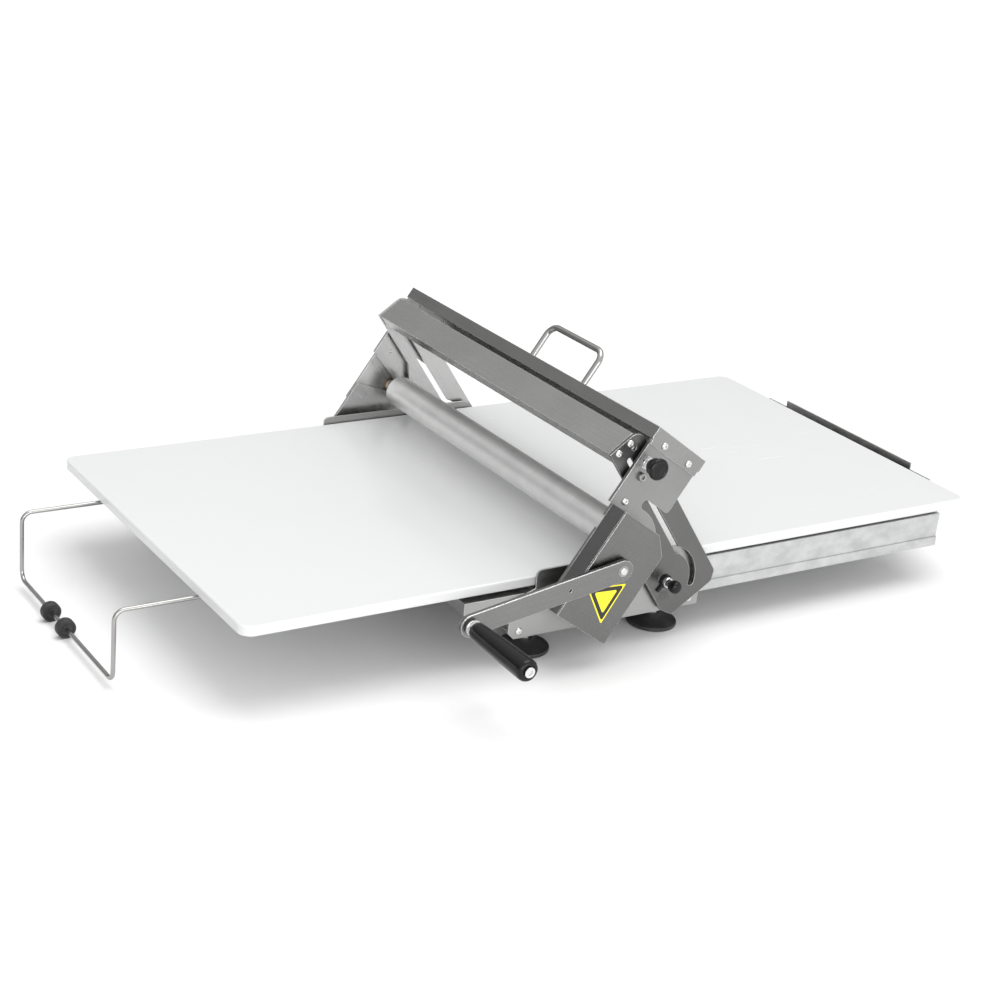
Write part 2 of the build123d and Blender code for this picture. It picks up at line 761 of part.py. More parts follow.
with BuildPart() as cover_posts:
    with BuildSketch(carrier_plane(side_y("near", carrier_out))):
        with Locations(cover_screw_places):
            Circle(5.0)
    extrude(amount=housing_depth)
    with BuildSketch(carrier_plane(side_y("near", carrier_out))):
        with Locations(cover_screw_places):
            Circle(2.0)
    extrude(amount=post_thread, mode=Mode.SUBTRACT)
save(cover_posts.part, "cover_posts")
housing_screws = [
    button_screws(carrier_plane, "near", carrier_in, carrier_thick + post_thread, cover_screw_places, inside=True),
    button_screws(carrier_plane, "near", carrier_out, carrier_thick, (guard_screw,)),
]
save(Compound(children=housing_screws), "cover_screws")

# ==== bearing plates, bushes and roller ===================================================
with BuildPart() as near_bearing:
    with BuildSketch(carrier_plane(side_y("near", carrier_out))):
        with BuildLine():
            Polyline((-19.5, 43), (21, 43), (21, -11), (14.5, -19), (-19.5, -19), close=True)
        make_face()
        Circle(shaft_slot / 2, mode=Mode.SUBTRACT)
        with Locations(near_plate_screws):
            Circle(2.1, mode=Mode.SUBTRACT)
    extrude(amount=bearing_plate_thick)
save(near_bearing.part, "near_bearing_plate")

with BuildPart() as far_bearing:
    with BuildSketch(carrier_plane(side_y("far", carrier_out, bearing_plate_thick))):
        with BuildLine():
            Polyline(
                (-45, cover_left),
                (47, cover_left),
                (47, -6),
                (30, -24),
                (-30, -24),
                (-45, -6),
                close=True,
            )
        make_face()
        Circle(shaft_slot / 2, mode=Mode.SUBTRACT)
        with Locations(far_plate_screws):
            Circle(2.1, mode=Mode.SUBTRACT)
    extrude(amount=bearing_plate_thick)
save(far_bearing.part, "far_bearing_plate")

plate_reach = bearing_plate_thick + carrier_thick
plate_screws = [
    button_screws(carrier_plane, "near", bearing_out, plate_reach, near_plate_screws),
    button_screws(carrier_plane, "far", bearing_out, plate_reach, far_plate_screws),
]
save(Compound(children=plate_screws), "bearing_plate_screws")

with BuildPart() as roller_bushes:
    for side in sides:
        with BuildSketch(carrier_plane(side_y(side, carrier_in, bearing_out - carrier_in))):
            Circle(shaft_slot / 2)
            Circle(shaft_dia / 2 + running_fit, mode=Mode.SUBTRACT)
        extrude(amount=bearing_out - carrier_in)
save(roller_bushes.part, "roller_bushes")

plug_depth = 14.0
with BuildPart() as tube:
    with BuildSketch(carrier_plane(mid_y + roller_half)):
        Circle(roller_dia / 2)
        Circle(roller_dia / 2 - roller_wall, mode=Mode.SUBTRACT)
    extrude(amount=2 * roller_half)
    chamfer(tube.faces().sort_by(SortBy.AREA)[-1].edges().filter_by(GeomType.CIRCLE), 0.8)
save(tube.part, "dough_roller")

with BuildPart() as plugs:
    for side in sides:
        with BuildSketch(carrier_plane(side_y(side, roller_half - plug_depth, plug_depth))):
            Circle(roller_dia / 2 - roller_wall)
            Circle(shaft_dia / 2, mode=Mode.SUBTRACT)
        extrude(amount=plug_depth)
save(plugs.part, "roller_end_plugs")

gear_start = bearing_out + 3.0
gear_end = gear_start + gear_width
with BuildPart() as shaft:
    with BuildSketch(carrier_plane(mid_y + bearing_out)):
        Circle(shaft_dia / 2)
    extrude(amount=bearing_out + gear_end + 1.0)
save(shaft.part, "roller_shaft")

collar_width = 2.7
with BuildPart() as collars:
    for side in sides:
        with BuildSketch(carrier_plane(side_y(side, carrier_in - collar_width - 0.3, collar_width))):
            Circle(10)
            Circle(shaft_dia / 2, mode=Mode.SUBTRACT)
        extrude(amount=collar_width)
save(collars.part, "shaft_collars")

# ==== gears and crank =====================================================================
toward_crank = crank_direction - carrier_angle
with BuildPart() as roller_gear:
    with BuildSketch(carrier_plane(side_y("near", gear_start))):
        with BuildLine():
            Polyline(*tooth_points(roller_teeth, toward_crank), close=True)
        make_face()
        Circle(shaft_dia / 2, mode=Mode.SUBTRACT)
        with PolarLocations(12.0, 5):
            Circle(2.6, mode=Mode.SUBTRACT)
    extrude(amount=gear_width)
save(roller_gear.part, "roller_gear")

crank_phase = toward_crank + 180 + 180 / crank_teeth
crank_centre = carrier_plane(side_y("near", gear_start)).from_local_coords((*crank_place, 0))
crank_gear_plane = carrier_plane(side_y("near", gear_start))
crank_gear_plane.origin = crank_centre
with BuildPart() as crank_gear:
    with BuildSketch(crank_gear_plane):
        with BuildLine():
            Polyline(*tooth_points(crank_teeth, crank_phase), close=True)
        make_face()
        Circle(crank_shaft_dia / 2, mode=Mode.SUBTRACT)
    extrude(amount=gear_width)
save(crank_gear.part, "crank_gear")

crank_screw_head = 1.6
crank_thread_dia = 5.0
crank_thread_depth = 12.0
with BuildPart() as crank_shaft:
    with BuildSketch(carrier_plane(side_y("near", carrier_in))):
        with Locations(crank_place):
            Circle(crank_shaft_dia / 2)
    extrude(amount=arm_out - carrier_in)
    with BuildSketch(carrier_plane(side_y("near", arm_out - crank_thread_depth))):
        with Locations(crank_place):
            Circle(crank_thread_dia / 2)
    extrude(amount=crank_thread_depth, mode=Mode.SUBTRACT)
save(crank_shaft.part, "crank_shaft")

bush_rings = (
    (carrier_in, carrier_thick, shaft_slot),
    (carrier_out, 2.0, 20.0),
    (cover_in, cover_thick + 1.0, cover_bush_dia),
)
with BuildPart() as crank_bushes:
    for start, thick, dia in bush_rings:
        with BuildSketch(carrier_plane(side_y("near", start))):
            with Locations(crank_place):
                Circle(dia / 2)
                Circle(crank_shaft_dia / 2 + running_fit, mode=Mode.SUBTRACT)
        extrude(amount=thick)
save(crank_bushes.part, "crank_bushes")


def crank_plane(distance):
    turned = math.radians(crank_arm_angle)
    centre = (roller_x + crank_dx, side_y("near", distance), work_height + crank_dz)
    return Plane(origin=centre, x_dir=(math.cos(turned), 0, math.sin(turned)), z_dir=(0, -1, 0))


arm_hole_reach = 71.0
arm_hole_dia = 4.4
arm_hole_depth = 3.5
with BuildPart() as crank_arm:
    with BuildSketch(crank_plane(arm_in)):
        with Locations((crank_arm_length / 2, 0)):
            SlotCenterToCenter(crank_arm_length, crank_arm_width)
        Circle(crank_shaft_dia / 2, mode=Mode.SUBTRACT)
        with Locations((crank_arm_length, 0)):
            Circle(grip_spindle_dia / 2, mode=Mode.SUBTRACT)
    extrude(amount=crank_arm_thick)
    with BuildSketch(crank_plane(arm_out)):
        with Locations((arm_hole_reach, 0)):
            Circle(arm_hole_dia / 2)
    extrude(amount=-arm_hole_depth, mode=Mode.SUBTRACT)
    chamfer(crank_arm.faces().sort_by(Axis.Y)[0].outer_wire().edges(), 0.5)
save(crank_arm.part, "crank_arm")

crank_screw_dia = 8.5
with BuildPart() as crank_screw:
    with BuildSketch(crank_plane(arm_out)):
        Circle(crank_screw_dia / 2)
    extrude(amount=crank_screw_head)
    fillet(crank_screw.faces().sort_by(Axis.Y)[0].edges(), crank_screw_head * 0.7)
    with BuildSketch(crank_plane(arm_out)):
        Circle(crank_thread_dia / 2)
    extrude(amount=-crank_thread_depth)
save(crank_screw.part, "crank_screw")

grip_cap = 2.0
with BuildPart() as spindle:
    with BuildSketch(crank_plane(arm_in)):
        with Locations((crank_arm_length, 0)):
            Circle(grip_spindle_dia / 2)
    extrude(amount=grip_end - arm_in)
    with BuildSketch(crank_plane(arm_out)):
        with Locations((crank_arm_length, 0)):
            RegularPolygon(8.0, 6)
    extrude(amount=2.0)
    with BuildSketch(crank_plane(grip_end)):
        with Locations((crank_arm_length, 0)):
            Circle(7.0)
            RegularPolygon(3.4, 6, mode=Mode.SUBTRACT)
    extrude(amount=grip_cap)
save(spindle.part, "grip_spindle")

grip_centre = crank_plane(grip_start).from_local_coords((crank_arm_length, 0, 0))
grip_section = Plane(origin=grip_centre, x_dir=(0, 0, 1), z_dir=(1, 0, 0))
grip_radius = grip_dia / 2
grip_bore = grip_spindle_dia / 2 + running_fit
grip_body = grip_length - 0.6
with BuildPart() as grip:
    with BuildSketch(grip_section):
        with BuildLine():
            Polyline(
                (grip_bore, 0),
                (grip_radius - 3.5, 0),
                (grip_radius - 2.5, 1.2),
                (grip_radius - 2.5, 12),
                (grip_radius - 1.0, 18),
                (grip_radius, grip_length - 26),
                (grip_radius, grip_length - 5),
                (grip_radius - 3.0, grip_body),
                (grip_bore, grip_body),
                close=True,
            )
        make_face()
    revolve(axis=Axis(grip_centre, (0, 1, 0)))
save(grip.part, "crank_grip")

# ==== index plunger, guide studs and hub knob =============================================
body_length = 9.0
knob_start = body_length + index_travel + 1.5
knob_length = 14.0
pin_dia = 6.0
pin_seat = 6.0
index_place = (index_along, index_across)
with BuildPart() as index_body:
    with BuildSketch(carrier_plane(side_y("near", carrier_in + 0.5))):
        with Locations(index_place):
            Circle(5.0)
            Circle(pin_dia / 2 + running_fit, mode=Mode.SUBTRACT)
    extrude(amount=carrier_thick - 0.5)
    with BuildSketch(carrier_plane(side_y("near", carrier_out))):
        with Locations(index_place):
            RegularPolygon(8.5, 6)
            Circle(pin_dia / 2 + running_fit, mode=Mode.SUBTRACT)
    extrude(amount=body_length)
save(index_body.part, "index_plunger_body")

pin_tip = strut_out + 0.4
with BuildPart() as index_pin:
    with BuildSketch(carrier_plane(side_y("near", pin_tip))):
        with Locations(index_place):
            Circle(pin_dia / 2)
    extrude(amount=carrier_out + knob_start + pin_seat - pin_tip)
save(index_pin.part, "index_plunger_pin")

with BuildPart() as index_knob:
    with BuildSketch(carrier_plane(side_y("near", carrier_out + knob_start))):
        with Locations(index_place):
            Circle(13.0)
    extrude(amount=knob_length)
    fillet(index_knob.edges().filter_by(GeomType.CIRCLE), 2.0)
    with BuildSketch(carrier_plane(side_y("near", carrier_out + knob_start))):
        with Locations(index_place):
            Circle(pin_dia / 2)
    extrude(amount=pin_seat, mode=Mode.SUBTRACT)
save(index_knob.part, "index_plunger_knob")

guide_dia = 5.0
guide_head = 4.5
with BuildPart() as guides:
    for side in sides:
        with BuildSketch(carrier_plane(side_y(side, strut_in, carrier_out - strut_in))):
            with Locations((guide_along, guide_across)):
                Circle(guide_dia / 2)
        extrude(amount=carrier_out - strut_in)
        with BuildSketch(carrier_plane(side_y(side, carrier_out, guide_head))):
            with Locations((guide_along, guide_across)):
                RegularPolygon(6.5, 6)
        extrude(amount=guide_head)
save(guides.part, "guide_studs")

pointer_start = strut_out + 0.6
pointer_thick = 1.5
pointer_length = 16.0
pointer_angle = 226.0
knob_seat = pointer_start + pointer_thick + 0.4
hub_pin_dia = 6.0
hub_knob_length = 22.0
hub_knob_dia = 16.0
hub_pin_end = knob_seat + hub_knob_length - 4.0
with BuildPart() as hub_pin:
    with BuildSketch(upright(side_y("near", hub_stud_end))):
        with Locations((hub_x, hub_z)):
            Circle(hub_pin_dia / 2)
    extrude(amount=hub_pin_end - hub_stud_end)
save(hub_pin.part, "hub_knob_spindle")

pointer_turn = math.radians(pointer_angle)
pointer_tip = (hub_x + pointer_length * math.cos(pointer_turn), hub_z + pointer_length * math.sin(pointer_turn))
with BuildPart() as pointer:
    with BuildSketch(upright(side_y("near", pointer_start))):
        with Locations((hub_x, hub_z)):
            Circle(8.0)
        with BuildLine():
            Line((hub_x, hub_z), pointer_tip)
        trace(line_width=4.0)
        with Locations((hub_x, hub_z)):
            Circle(hub_pin_dia / 2, mode=Mode.SUBTRACT)
    extrude(amount=pointer_thick)
save(pointer.part, "gap_pointer")

with BuildPart() as hub_knob:
    with BuildSketch(upright(side_y("near", knob_seat))):
        with Locations((hub_x, hub_z)):
            Circle(hub_knob_dia / 2)
    extrude(amount=hub_knob_length, taper=3)
    fillet(hub_knob.faces().sort_by(Axis.Y)[0].edges(), 1.5)
    with BuildSketch(upright(side_y("near", knob_seat))):
        with Locations((hub_x, hub_z)):
            Circle(hub_pin_dia / 2 + running_fit)
    extrude(amount=hub_knob_length - 3.5, mode=Mode.SUBTRACT)
save(hub_knob.part, "hub_clamp_knob")

# ==== wire support that carries the overhanging board =====================================
wire_z = -board_thick - board_clear - wire_dia / 2
cross_x = board_left - wire_reach
cross_z = wheel_dia / 2 - work_height
guide_blocks = ((shelf_left + 8.0, shelf_left + 28.0), (shelf_left + 58.0, shelf_left + 78.0))
tip_length = 3.0
wire_inner = guide_blocks[1][1] + 0.5 + tip_length


def wire_point(x, offset_y, z):
    return roller_x + x, mid_y + offset_y, work_height + z


with BuildPart() as wire:
    with BuildLine() as wire_path:
        FilletPolyline(
            wire_point(wire_inner, -wire_y, wire_z),
            wire_point(cross_x, -wire_y, wire_z),
            wire_point(cross_x, -wire_y, cross_z),
            wire_point(cross_x, wire_y, cross_z),
            wire_point(cross_x, wire_y, wire_z),
            wire_point(wire_inner, wire_y, wire_z),
            radius=wire_bend,
        )
    with BuildSketch(Plane(origin=wire_path.line @ 0, z_dir=wire_path.line % 0)):
        Circle(wire_dia / 2)
    sweep()
    with BuildSketch(Plane.YZ.offset(roller_x + wire_inner - tip_length)):
        with Locations([(mid_y + s * wire_y, work_height + wire_z) for s in (-1, 1)]):
            RectangleRounded(11.0, wire_dia - 0.2, 2.0)
    extrude(amount=tip_length)
save(wire.part, "wire_support")

for number, shift in enumerate(wheel_offsets):
    with BuildPart() as wheel:
        with BuildSketch(upright(mid_y + shift + wheel_width / 2)):
            with Locations((cross_x, cross_z)):
                Circle(wheel_dia / 2)
                Circle(wire_dia / 2 + running_fit, mode=Mode.SUBTRACT)
        extrude(amount=wheel_width)
        fillet(wheel.faces().sort_by(SortBy.AREA)[-1].edges().filter_by(GeomType.CIRCLE), 2.0)
    save(wheel.part, ("inner", "outer")[number] + "_support_wheel")

groove = wire_dia + 0.5
rib = 8.0
with BuildPart() as wire_guides:
    with BuildSketch(Plane.XY.offset(work_height + shelf_top)):
        for start, end in guide_blocks:
            for sign in (-1, 1):
                for edge in (-1, 1):
                    place = (roller_x + (start + end) / 2, mid_y + sign * wire_y + edge * (groove + rib) / 2)
                    with Locations(place):
                        Rectangle(end - start, rib)
    extrude(amount=-board_thick - board_clear - shelf_top - 0.3)
save(wire_guides.part, "wire_guides")

# ==== extension plate with its upturned lip ===============================================
lip_x = board_right + lip_reach
with BuildPart() as extension:
    with BuildSketch(Plane.XY.offset(work_height + extension_z - sheet / 2)):
        with Locations((roller_x + (extension_inner + lip_x) / 2, mid_y)):
            Rectangle(lip_x - extension_inner, plate_width)
    extrude(amount=sheet)
    lip_foot = work_height + extension_z - sheet / 2
    with BuildSketch(Plane.YZ.offset(roller_x + lip_x - sheet)):
        for width, top in ((plate_width, work_height - 9.0), (lip_width, work_height)):
            with Locations((mid_y, (lip_foot + top) / 2)):
                Rectangle(width, top - lip_foot)
    extrude(amount=sheet)
save(extension.part, "extension_plate")

guide_gap = 0.5
guide_wide = 14.0
guide_bite = 8.0
guide_start = rail_end - 230.0
guide_stop = rail_end - 12.0
guide_low = pan_bottom + sheet
guide_high = extension_z + 6.0
with BuildPart() as extension_guides:
    with BuildSketch(Plane.YZ.offset(roller_x + guide_start)):
        for sign in (-1, 1):
            middle = mid_y + sign * (plate_width / 2 - guide_bite + guide_wide / 2)
            with Locations((middle, work_height + (guide_low + guide_high) / 2)):
                Rectangle(guide_wide, guide_high - guide_low)
            slot_wide = guide_bite + guide_gap
            slot_mid = mid_y + sign * (plate_width / 2 + guide_gap - slot_wide / 2)
            with Locations((slot_mid, work_height + extension_z)):
                Rectangle(slot_wide, sheet + 2 * guide_gap, mode=Mode.SUBTRACT)
    extrude(amount=guide_stop - guide_start)
save(extension_guides.part, "extension_guides")
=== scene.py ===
import json
import math
import bmesh
import bpy
from mathutils import Matrix, Quaternion, Vector


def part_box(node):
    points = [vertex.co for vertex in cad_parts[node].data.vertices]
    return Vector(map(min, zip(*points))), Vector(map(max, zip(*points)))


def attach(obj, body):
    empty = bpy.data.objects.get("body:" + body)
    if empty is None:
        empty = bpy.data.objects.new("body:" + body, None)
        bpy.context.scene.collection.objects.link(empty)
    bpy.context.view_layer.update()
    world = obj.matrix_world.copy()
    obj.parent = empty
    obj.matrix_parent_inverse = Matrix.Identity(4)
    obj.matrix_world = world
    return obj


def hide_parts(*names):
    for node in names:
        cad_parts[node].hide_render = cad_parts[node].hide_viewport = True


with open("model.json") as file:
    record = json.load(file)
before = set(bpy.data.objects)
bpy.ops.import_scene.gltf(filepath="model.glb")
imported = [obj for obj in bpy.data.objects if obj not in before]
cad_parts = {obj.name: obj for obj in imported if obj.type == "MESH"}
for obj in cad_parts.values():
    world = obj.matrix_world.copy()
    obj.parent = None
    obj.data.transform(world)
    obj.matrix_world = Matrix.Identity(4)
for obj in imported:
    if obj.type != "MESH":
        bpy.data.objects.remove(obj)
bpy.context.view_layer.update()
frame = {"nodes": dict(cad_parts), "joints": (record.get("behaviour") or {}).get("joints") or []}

mm = 0.001
nodes = frame["nodes"]
joints = {joint["name"]: joint for joint in frame["joints"]}
print("frame loaded")


# places and directions that the pieces below are set out from
def jointPlace(name):
    return Vector(joints[name]["pos_m"])


rollerAxis = jointPlace("roller_spin")
hubAxis = jointPlace("strut_swing")
gripAxis = jointPlace("grip_spin")
midY = rollerAxis.y
nearSide = Vector((0, -1, 0))
lean = {"carrier": 55.0, "strut": 125.2, "crankArm": 189.4}      # degrees above +X


# material helpers
def newMaterial(name, colour, rough, metal=0.0, **sockets):
    material = bpy.data.materials.new(name)
    material.use_nodes = True
    shader = material.node_tree.nodes["Principled BSDF"]
    shader.inputs["Base Color"].default_value = (*colour, 1)
    shader.inputs["Roughness"].default_value = rough
    shader.inputs["Metallic"].default_value = metal
    for socket, value in sockets.items():
        shader.inputs[socket.replace("_", " ")].default_value = value
    return material, material.node_tree, shader


def addNode(tree, kind, **values):
    node = tree.nodes.new(kind)
    for key, value in values.items():
        if hasattr(node, key):
            setattr(node, key, value)
        else:
            node.inputs[key].default_value = value
    return node


def surfaceCoords(tree, stretch=(1, 1, 1), turnDeg=0.0):
    # piece coordinates in metres, turned about Y first, so that a stretch can follow a leaning plate
    coords = addNode(tree, "ShaderNodeTexCoord")
    turned = addNode(tree, "ShaderNodeMapping", vector_type="TEXTURE")
    turned.inputs["Rotation"].default_value = (0, math.radians(-turnDeg), 0)
    scaled = addNode(tree, "ShaderNodeMapping", vector_type="POINT")
    scaled.inputs["Scale"].default_value = stretch
    tree.links.new(coords.outputs["Object"], turned.inputs["Vector"])
    tree.links.new(turned.outputs["Vector"], scaled.inputs["Vector"])
    return scaled.outputs["Vector"]


def noiseOn(tree, coords, scale, detail=4.0, roughness=0.6):
    noise = addNode(tree, "ShaderNodeTexNoise", Scale=scale, Detail=detail, Roughness=roughness)
    tree.links.new(coords, noise.inputs["Vector"])
    return noise.outputs["Fac"]


def spread(tree, value, fromLow, fromHigh, toLow, toHigh):
    mapped = addNode(tree, "ShaderNodeMapRange")
    limits = (("From Min", fromLow), ("From Max", fromHigh), ("To Min", toLow), ("To Max", toHigh))
    for socket, number in limits:
        mapped.inputs[socket].default_value = number
    tree.links.new(value, mapped.inputs["Value"])
    return mapped.outputs["Result"]


noiseRange = (0.3, 0.7)      # nearly all values of a noise lie between these


def fromNoise(tree, noise, toLow, toHigh):
    return spread(tree, noise, *noiseRange, toLow, toHigh)


def blendColour(tree, amount, first, second):
    mix = addNode(tree, "ShaderNodeMix", data_type="RGBA")
    for socket, colour in ((mix.inputs[6], first), (mix.inputs[7], second)):
        if isinstance(colour, (tuple, list)):
            socket.default_value = (*colour, 1)
        else:
            tree.links.new(colour, socket)
    tree.links.new(amount, mix.inputs[0])
    return mix.outputs[2]


def combine(tree, operation, first, second):
    node = addNode(tree, "ShaderNodeMath", operation=operation)
    for socket, value in ((node.inputs[0], first), (node.inputs[1], second)):
        if isinstance(value, (int, float)):
            socket.default_value = value
        else:
            tree.links.new(value, socket)
    return node.outputs[0]


grainDepth = 0.0001      # metres


def bumpFrom(tree, height, strength, depth=grainDepth, under=None):
    bump = addNode(tree, "ShaderNodeBump", Strength=strength, Distance=depth)
    tree.links.new(height, bump.inputs["Height"])
    if under is not None:
        tree.links.new(under, bump.inputs["Normal"])
    return bump.outputs["Normal"]


def dress(tree, shader, colour, rough, normal):
    for socket, value in (("Base Color", colour), ("Roughness", rough), ("Normal", normal)):
        tree.links.new(value, shader.inputs[socket])


def shade(colour, factor):
    return tuple(min(1.0, channel * factor) for channel in colour)


# brushed sheet steel; grain is the stretch of its lines, turn the way they run
steelLooks = {
    "carrierSteel": dict(colour=(0.28, 0.28, 0.277), rough=0.34, grain=(14, 14, 1100), turn=lean["carrier"]),
    "strutSteel": dict(colour=(0.15, 0.15, 0.148), rough=0.34, grain=(14, 14, 1100), turn=lean["strut"]),
    "barSteel": dict(colour=(0.30, 0.30, 0.296), rough=0.30, grain=(900, 5, 900), turn=lean["carrier"],
                     bump=0.06),
    "strutBarSteel": dict(colour=(0.37, 0.37, 0.365), rough=0.27, grain=(900, 5, 900), turn=lean["strut"],
                          bump=0.06),
    # far-side plates: the same sheet steel as the near plates, painted lighter to stand in for the light off
    # the board that they catch
    "farSteelPaintedLighter": dict(colour=(0.60, 0.60, 0.595), rough=0.32, grain=(14, 14, 1100), turn=lean["strut"]),
    "panelSteel": dict(colour=(0.38, 0.38, 0.375), rough=0.36, grain=(12, 12, 1000), turn=0.0),
    "extensionSteel": dict(colour=(0.58, 0.58, 0.575), rough=0.34, grain=(700, 5, 700), turn=0.0, bump=0.06),
    "armSteel": dict(colour=(0.22, 0.22, 0.217), rough=0.28, grain=(12, 12, 900), turn=lean["crankArm"]),
    "coverSteel": dict(colour=(0.18, 0.18, 0.178), rough=0.30, grain=(1200, 14, 14), turn=lean["carrier"]),
}
# painted highlight along the sharp edges, where they catch the light: full where the rounded normal is this
# unlike the flat one
paintedEdgeHighlight = {"radius": 1.1 * mm, "none": 0.995, "full": 0.90, "colour": (0.78, 0.78, 0.77)}


def brushedSteel(name, colour, rough, grain, turn, bump=0.22):
    material, tree, shader = newMaterial(name, colour, rough, 1.0)
    lines = noiseOn(tree, surfaceCoords(tree, grain, turn), 1.0, 6.0, 0.7)
    clouds = noiseOn(tree, surfaceCoords(tree), 9.0, 5.0, 0.55)
    smears = noiseOn(tree, surfaceCoords(tree, (60, 60, 240), turn), 1.0, 3.0, 0.6)
    tone = combine(tree, "ADD", fromNoise(tree, lines, 0.0, 0.45), fromNoise(tree, clouds, 0.0, 0.55))
    brushed = blendColour(tree, tone, shade(colour, 0.88), shade(colour, 1.11))
    rounded = addNode(tree, "ShaderNodeBevel", samples=4, Radius=paintedEdgeHighlight["radius"])
    facing = addNode(tree, "ShaderNodeNewGeometry")
    likeness = addNode(tree, "ShaderNodeVectorMath", operation="DOT_PRODUCT")
    tree.links.new(rounded.outputs["Normal"], likeness.inputs[0])
    tree.links.new(facing.outputs["Normal"], likeness.inputs[1])
    # mask of the painted edge highlight
    edge = spread(tree, likeness.outputs["Value"], paintedEdgeHighlight["none"], paintedEdgeHighlight["full"], 0.0, 1.0)
    uneven = combine(tree, "ADD", fromNoise(tree, lines, rough - 0.06, rough + 0.06),
                     spread(tree, smears, 0.35, 0.7, -0.04, 0.07))
    # base colour lifted towards the highlight colour along the edges: painted highlight
    dress(tree, shader, blendColour(tree, edge, brushed, paintedEdgeHighlight["colour"]), uneven,
          bumpFrom(tree, lines, bump, under=rounded.outputs["Normal"]))
    return material


boardLook = {"colour": (0.675, 0.68, 0.68), "rough": 0.17, "marks": 0.06, "speckle": 900.0}


def boardPlastic():
    look = boardLook
    material, tree, shader = newMaterial("boardPlastic", look["colour"], look["rough"], 0.0,
                                         Subsurface_Weight=0.12, Subsurface_Scale=0.004, IOR=1.5)
    shader.inputs["Subsurface Radius"].default_value = (1.0, 1.0, 1.0)
    clouds = noiseOn(tree, surfaceCoords(tree), 5.0, 4.0, 0.5)
    marks = noiseOn(tree, surfaceCoords(tree, (9, 420, 40)), 1.0, 4.0, 0.65)
    speckle = noiseOn(tree, surfaceCoords(tree), look["speckle"], 2.0, 0.5)
    tint = blendColour(tree, clouds, shade(look["colour"], 0.985), shade(look["colour"], 1.012))
    rough = combine(tree, "ADD", fromNoise(tree, clouds, look["rough"] - 0.05, look["rough"] + 0.05),
                    spread(tree, marks, 0.55, 0.75, 0.0, 0.10))
    fine = bumpFrom(tree, speckle, 0.10, 0.00005)
    dress(tree, shader, tint, rough, bumpFrom(tree, marks, look["marks"], 0.00006, fine))
    return material


trayLook = {"dark": (0.47, 0.48, 0.48), "light": (0.64, 0.64, 0.64), "rough": 0.34, "patch": 34.0}


def traySteel():
    # dull rolled sheet with cloudy patches
    look = trayLook
    material, tree, shader = newMaterial("traySteel", look["light"], look["rough"], 1.0)
    patches = noiseOn(tree, surfaceCoords(tree, (1, 1, 1.6)), look["patch"], 6.0, 0.62)
    clouds = noiseOn(tree, surfaceCoords(tree), look["patch"] * 0.3, 3.0, 0.5)
    rolled = noiseOn(tree, surfaceCoords(tree, (10, 10, 900)), 1.0, 5.0, 0.7)
    amount = combine(tree, "ADD", spread(tree, patches, 0.38, 0.64, 0.0, 0.7),
                     fromNoise(tree, clouds, 0.0, 0.3))
    rough = spread(tree, amount, 0.0, 1.0, look["rough"] + 0.14, look["rough"] - 0.06)
    soft = bumpFrom(tree, patches, 0.10, 0.0004)
    dress(tree, shader, blendColour(tree, amount, look["dark"], look["light"]), rough,
          bumpFrom(tree, rolled, 0.12, under=soft))
    return material


turnedLooks = {
    "rollerMetal": dict(colour=(0.84, 0.84, 0.835), rough=0.50, rings=1500.0, depth=0.03),
    "gearSteel": dict(colour=(0.34, 0.34, 0.335), rough=0.36, rings=1200.0, depth=0.15),
    "brightFastener": dict(colour=(0.72, 0.72, 0.72), rough=0.20, rings=900.0, depth=0.06),
    "bronzeBush": dict(colour=(0.60, 0.42, 0.22), rough=0.34, rings=1200.0, depth=0.12),
}


def turnedMetal(name, colour, rough, rings, depth):
    # fine rings from the lathe, across the Y axis that every shaft here turns on
    material, tree, shader = newMaterial(name, colour, rough, 1.0)
    groove = noiseOn(tree, surfaceCoords(tree, (4, rings, 4)), 1.0, 5.0, 0.7)
    handled = noiseOn(tree, surfaceCoords(tree), 40.0, 4.0, 0.6)
    tone = combine(tree, "ADD", fromNoise(tree, groove, 0.0, 0.5), fromNoise(tree, handled, 0.0, 0.5))
    dress(tree, shader, blendColour(tree, tone, shade(colour, 0.90), shade(colour, 1.08)),
          spread(tree, tone, 0.0, 1.0, rough - 0.05, rough + 0.08), bumpFrom(tree, groove, depth))
    return material


rodLook = {"colour": (0.40, 0.397, 0.388), "rough": 0.20}


def rodSteel():
    look = rodLook
    material, tree, shader = newMaterial("rodSteel", look["colour"], look["rough"], 1.0)
    drawn = noiseOn(tree, surfaceCoords(tree), 700.0, 5.0, 0.7)
    stains = noiseOn(tree, surfaceCoords(tree), 28.0, 5.0, 0.6)
    dress(tree, shader, blendColour(tree, stains, shade(look["colour"], 0.80), shade(look["colour"], 1.15)),
          fromNoise(tree, stains, look["rough"] - 0.06, look["rough"] + 0.10), bumpFrom(tree, drawn, 0.12))
    return material


# plastic, rubber and vinyl; fine is the scale of the skin, dust what worn places gain in colour
mouldedLooks = {
    "blackPlastic": dict(colour=(0.006, 0.006, 0.0065), rough=0.13, fine=1400.0, depth=0.03, dust=0.002,
                         gloss=0.28),
    "blackRubber": dict(colour=(0.020, 0.020, 0.021), rough=0.58, fine=900.0, depth=0.25, dust=0.03),
    "guidePlastic": dict(colour=(0.66, 0.66, 0.64), rough=0.42, fine=700.0, depth=0.12, dust=0.02),
    "yellowVinyl": dict(colour=(0.93, 0.80, 0.02), rough=0.38, fine=500.0, depth=0.06, dust=0.02),
    "blackVinyl": dict(colour=(0.015, 0.015, 0.015), rough=0.40, fine=500.0, depth=0.06, dust=0.01),
    "inkBlack": dict(colour=(0.03, 0.03, 0.03), rough=0.50, fine=500.0, depth=0.05, dust=0.01),
}


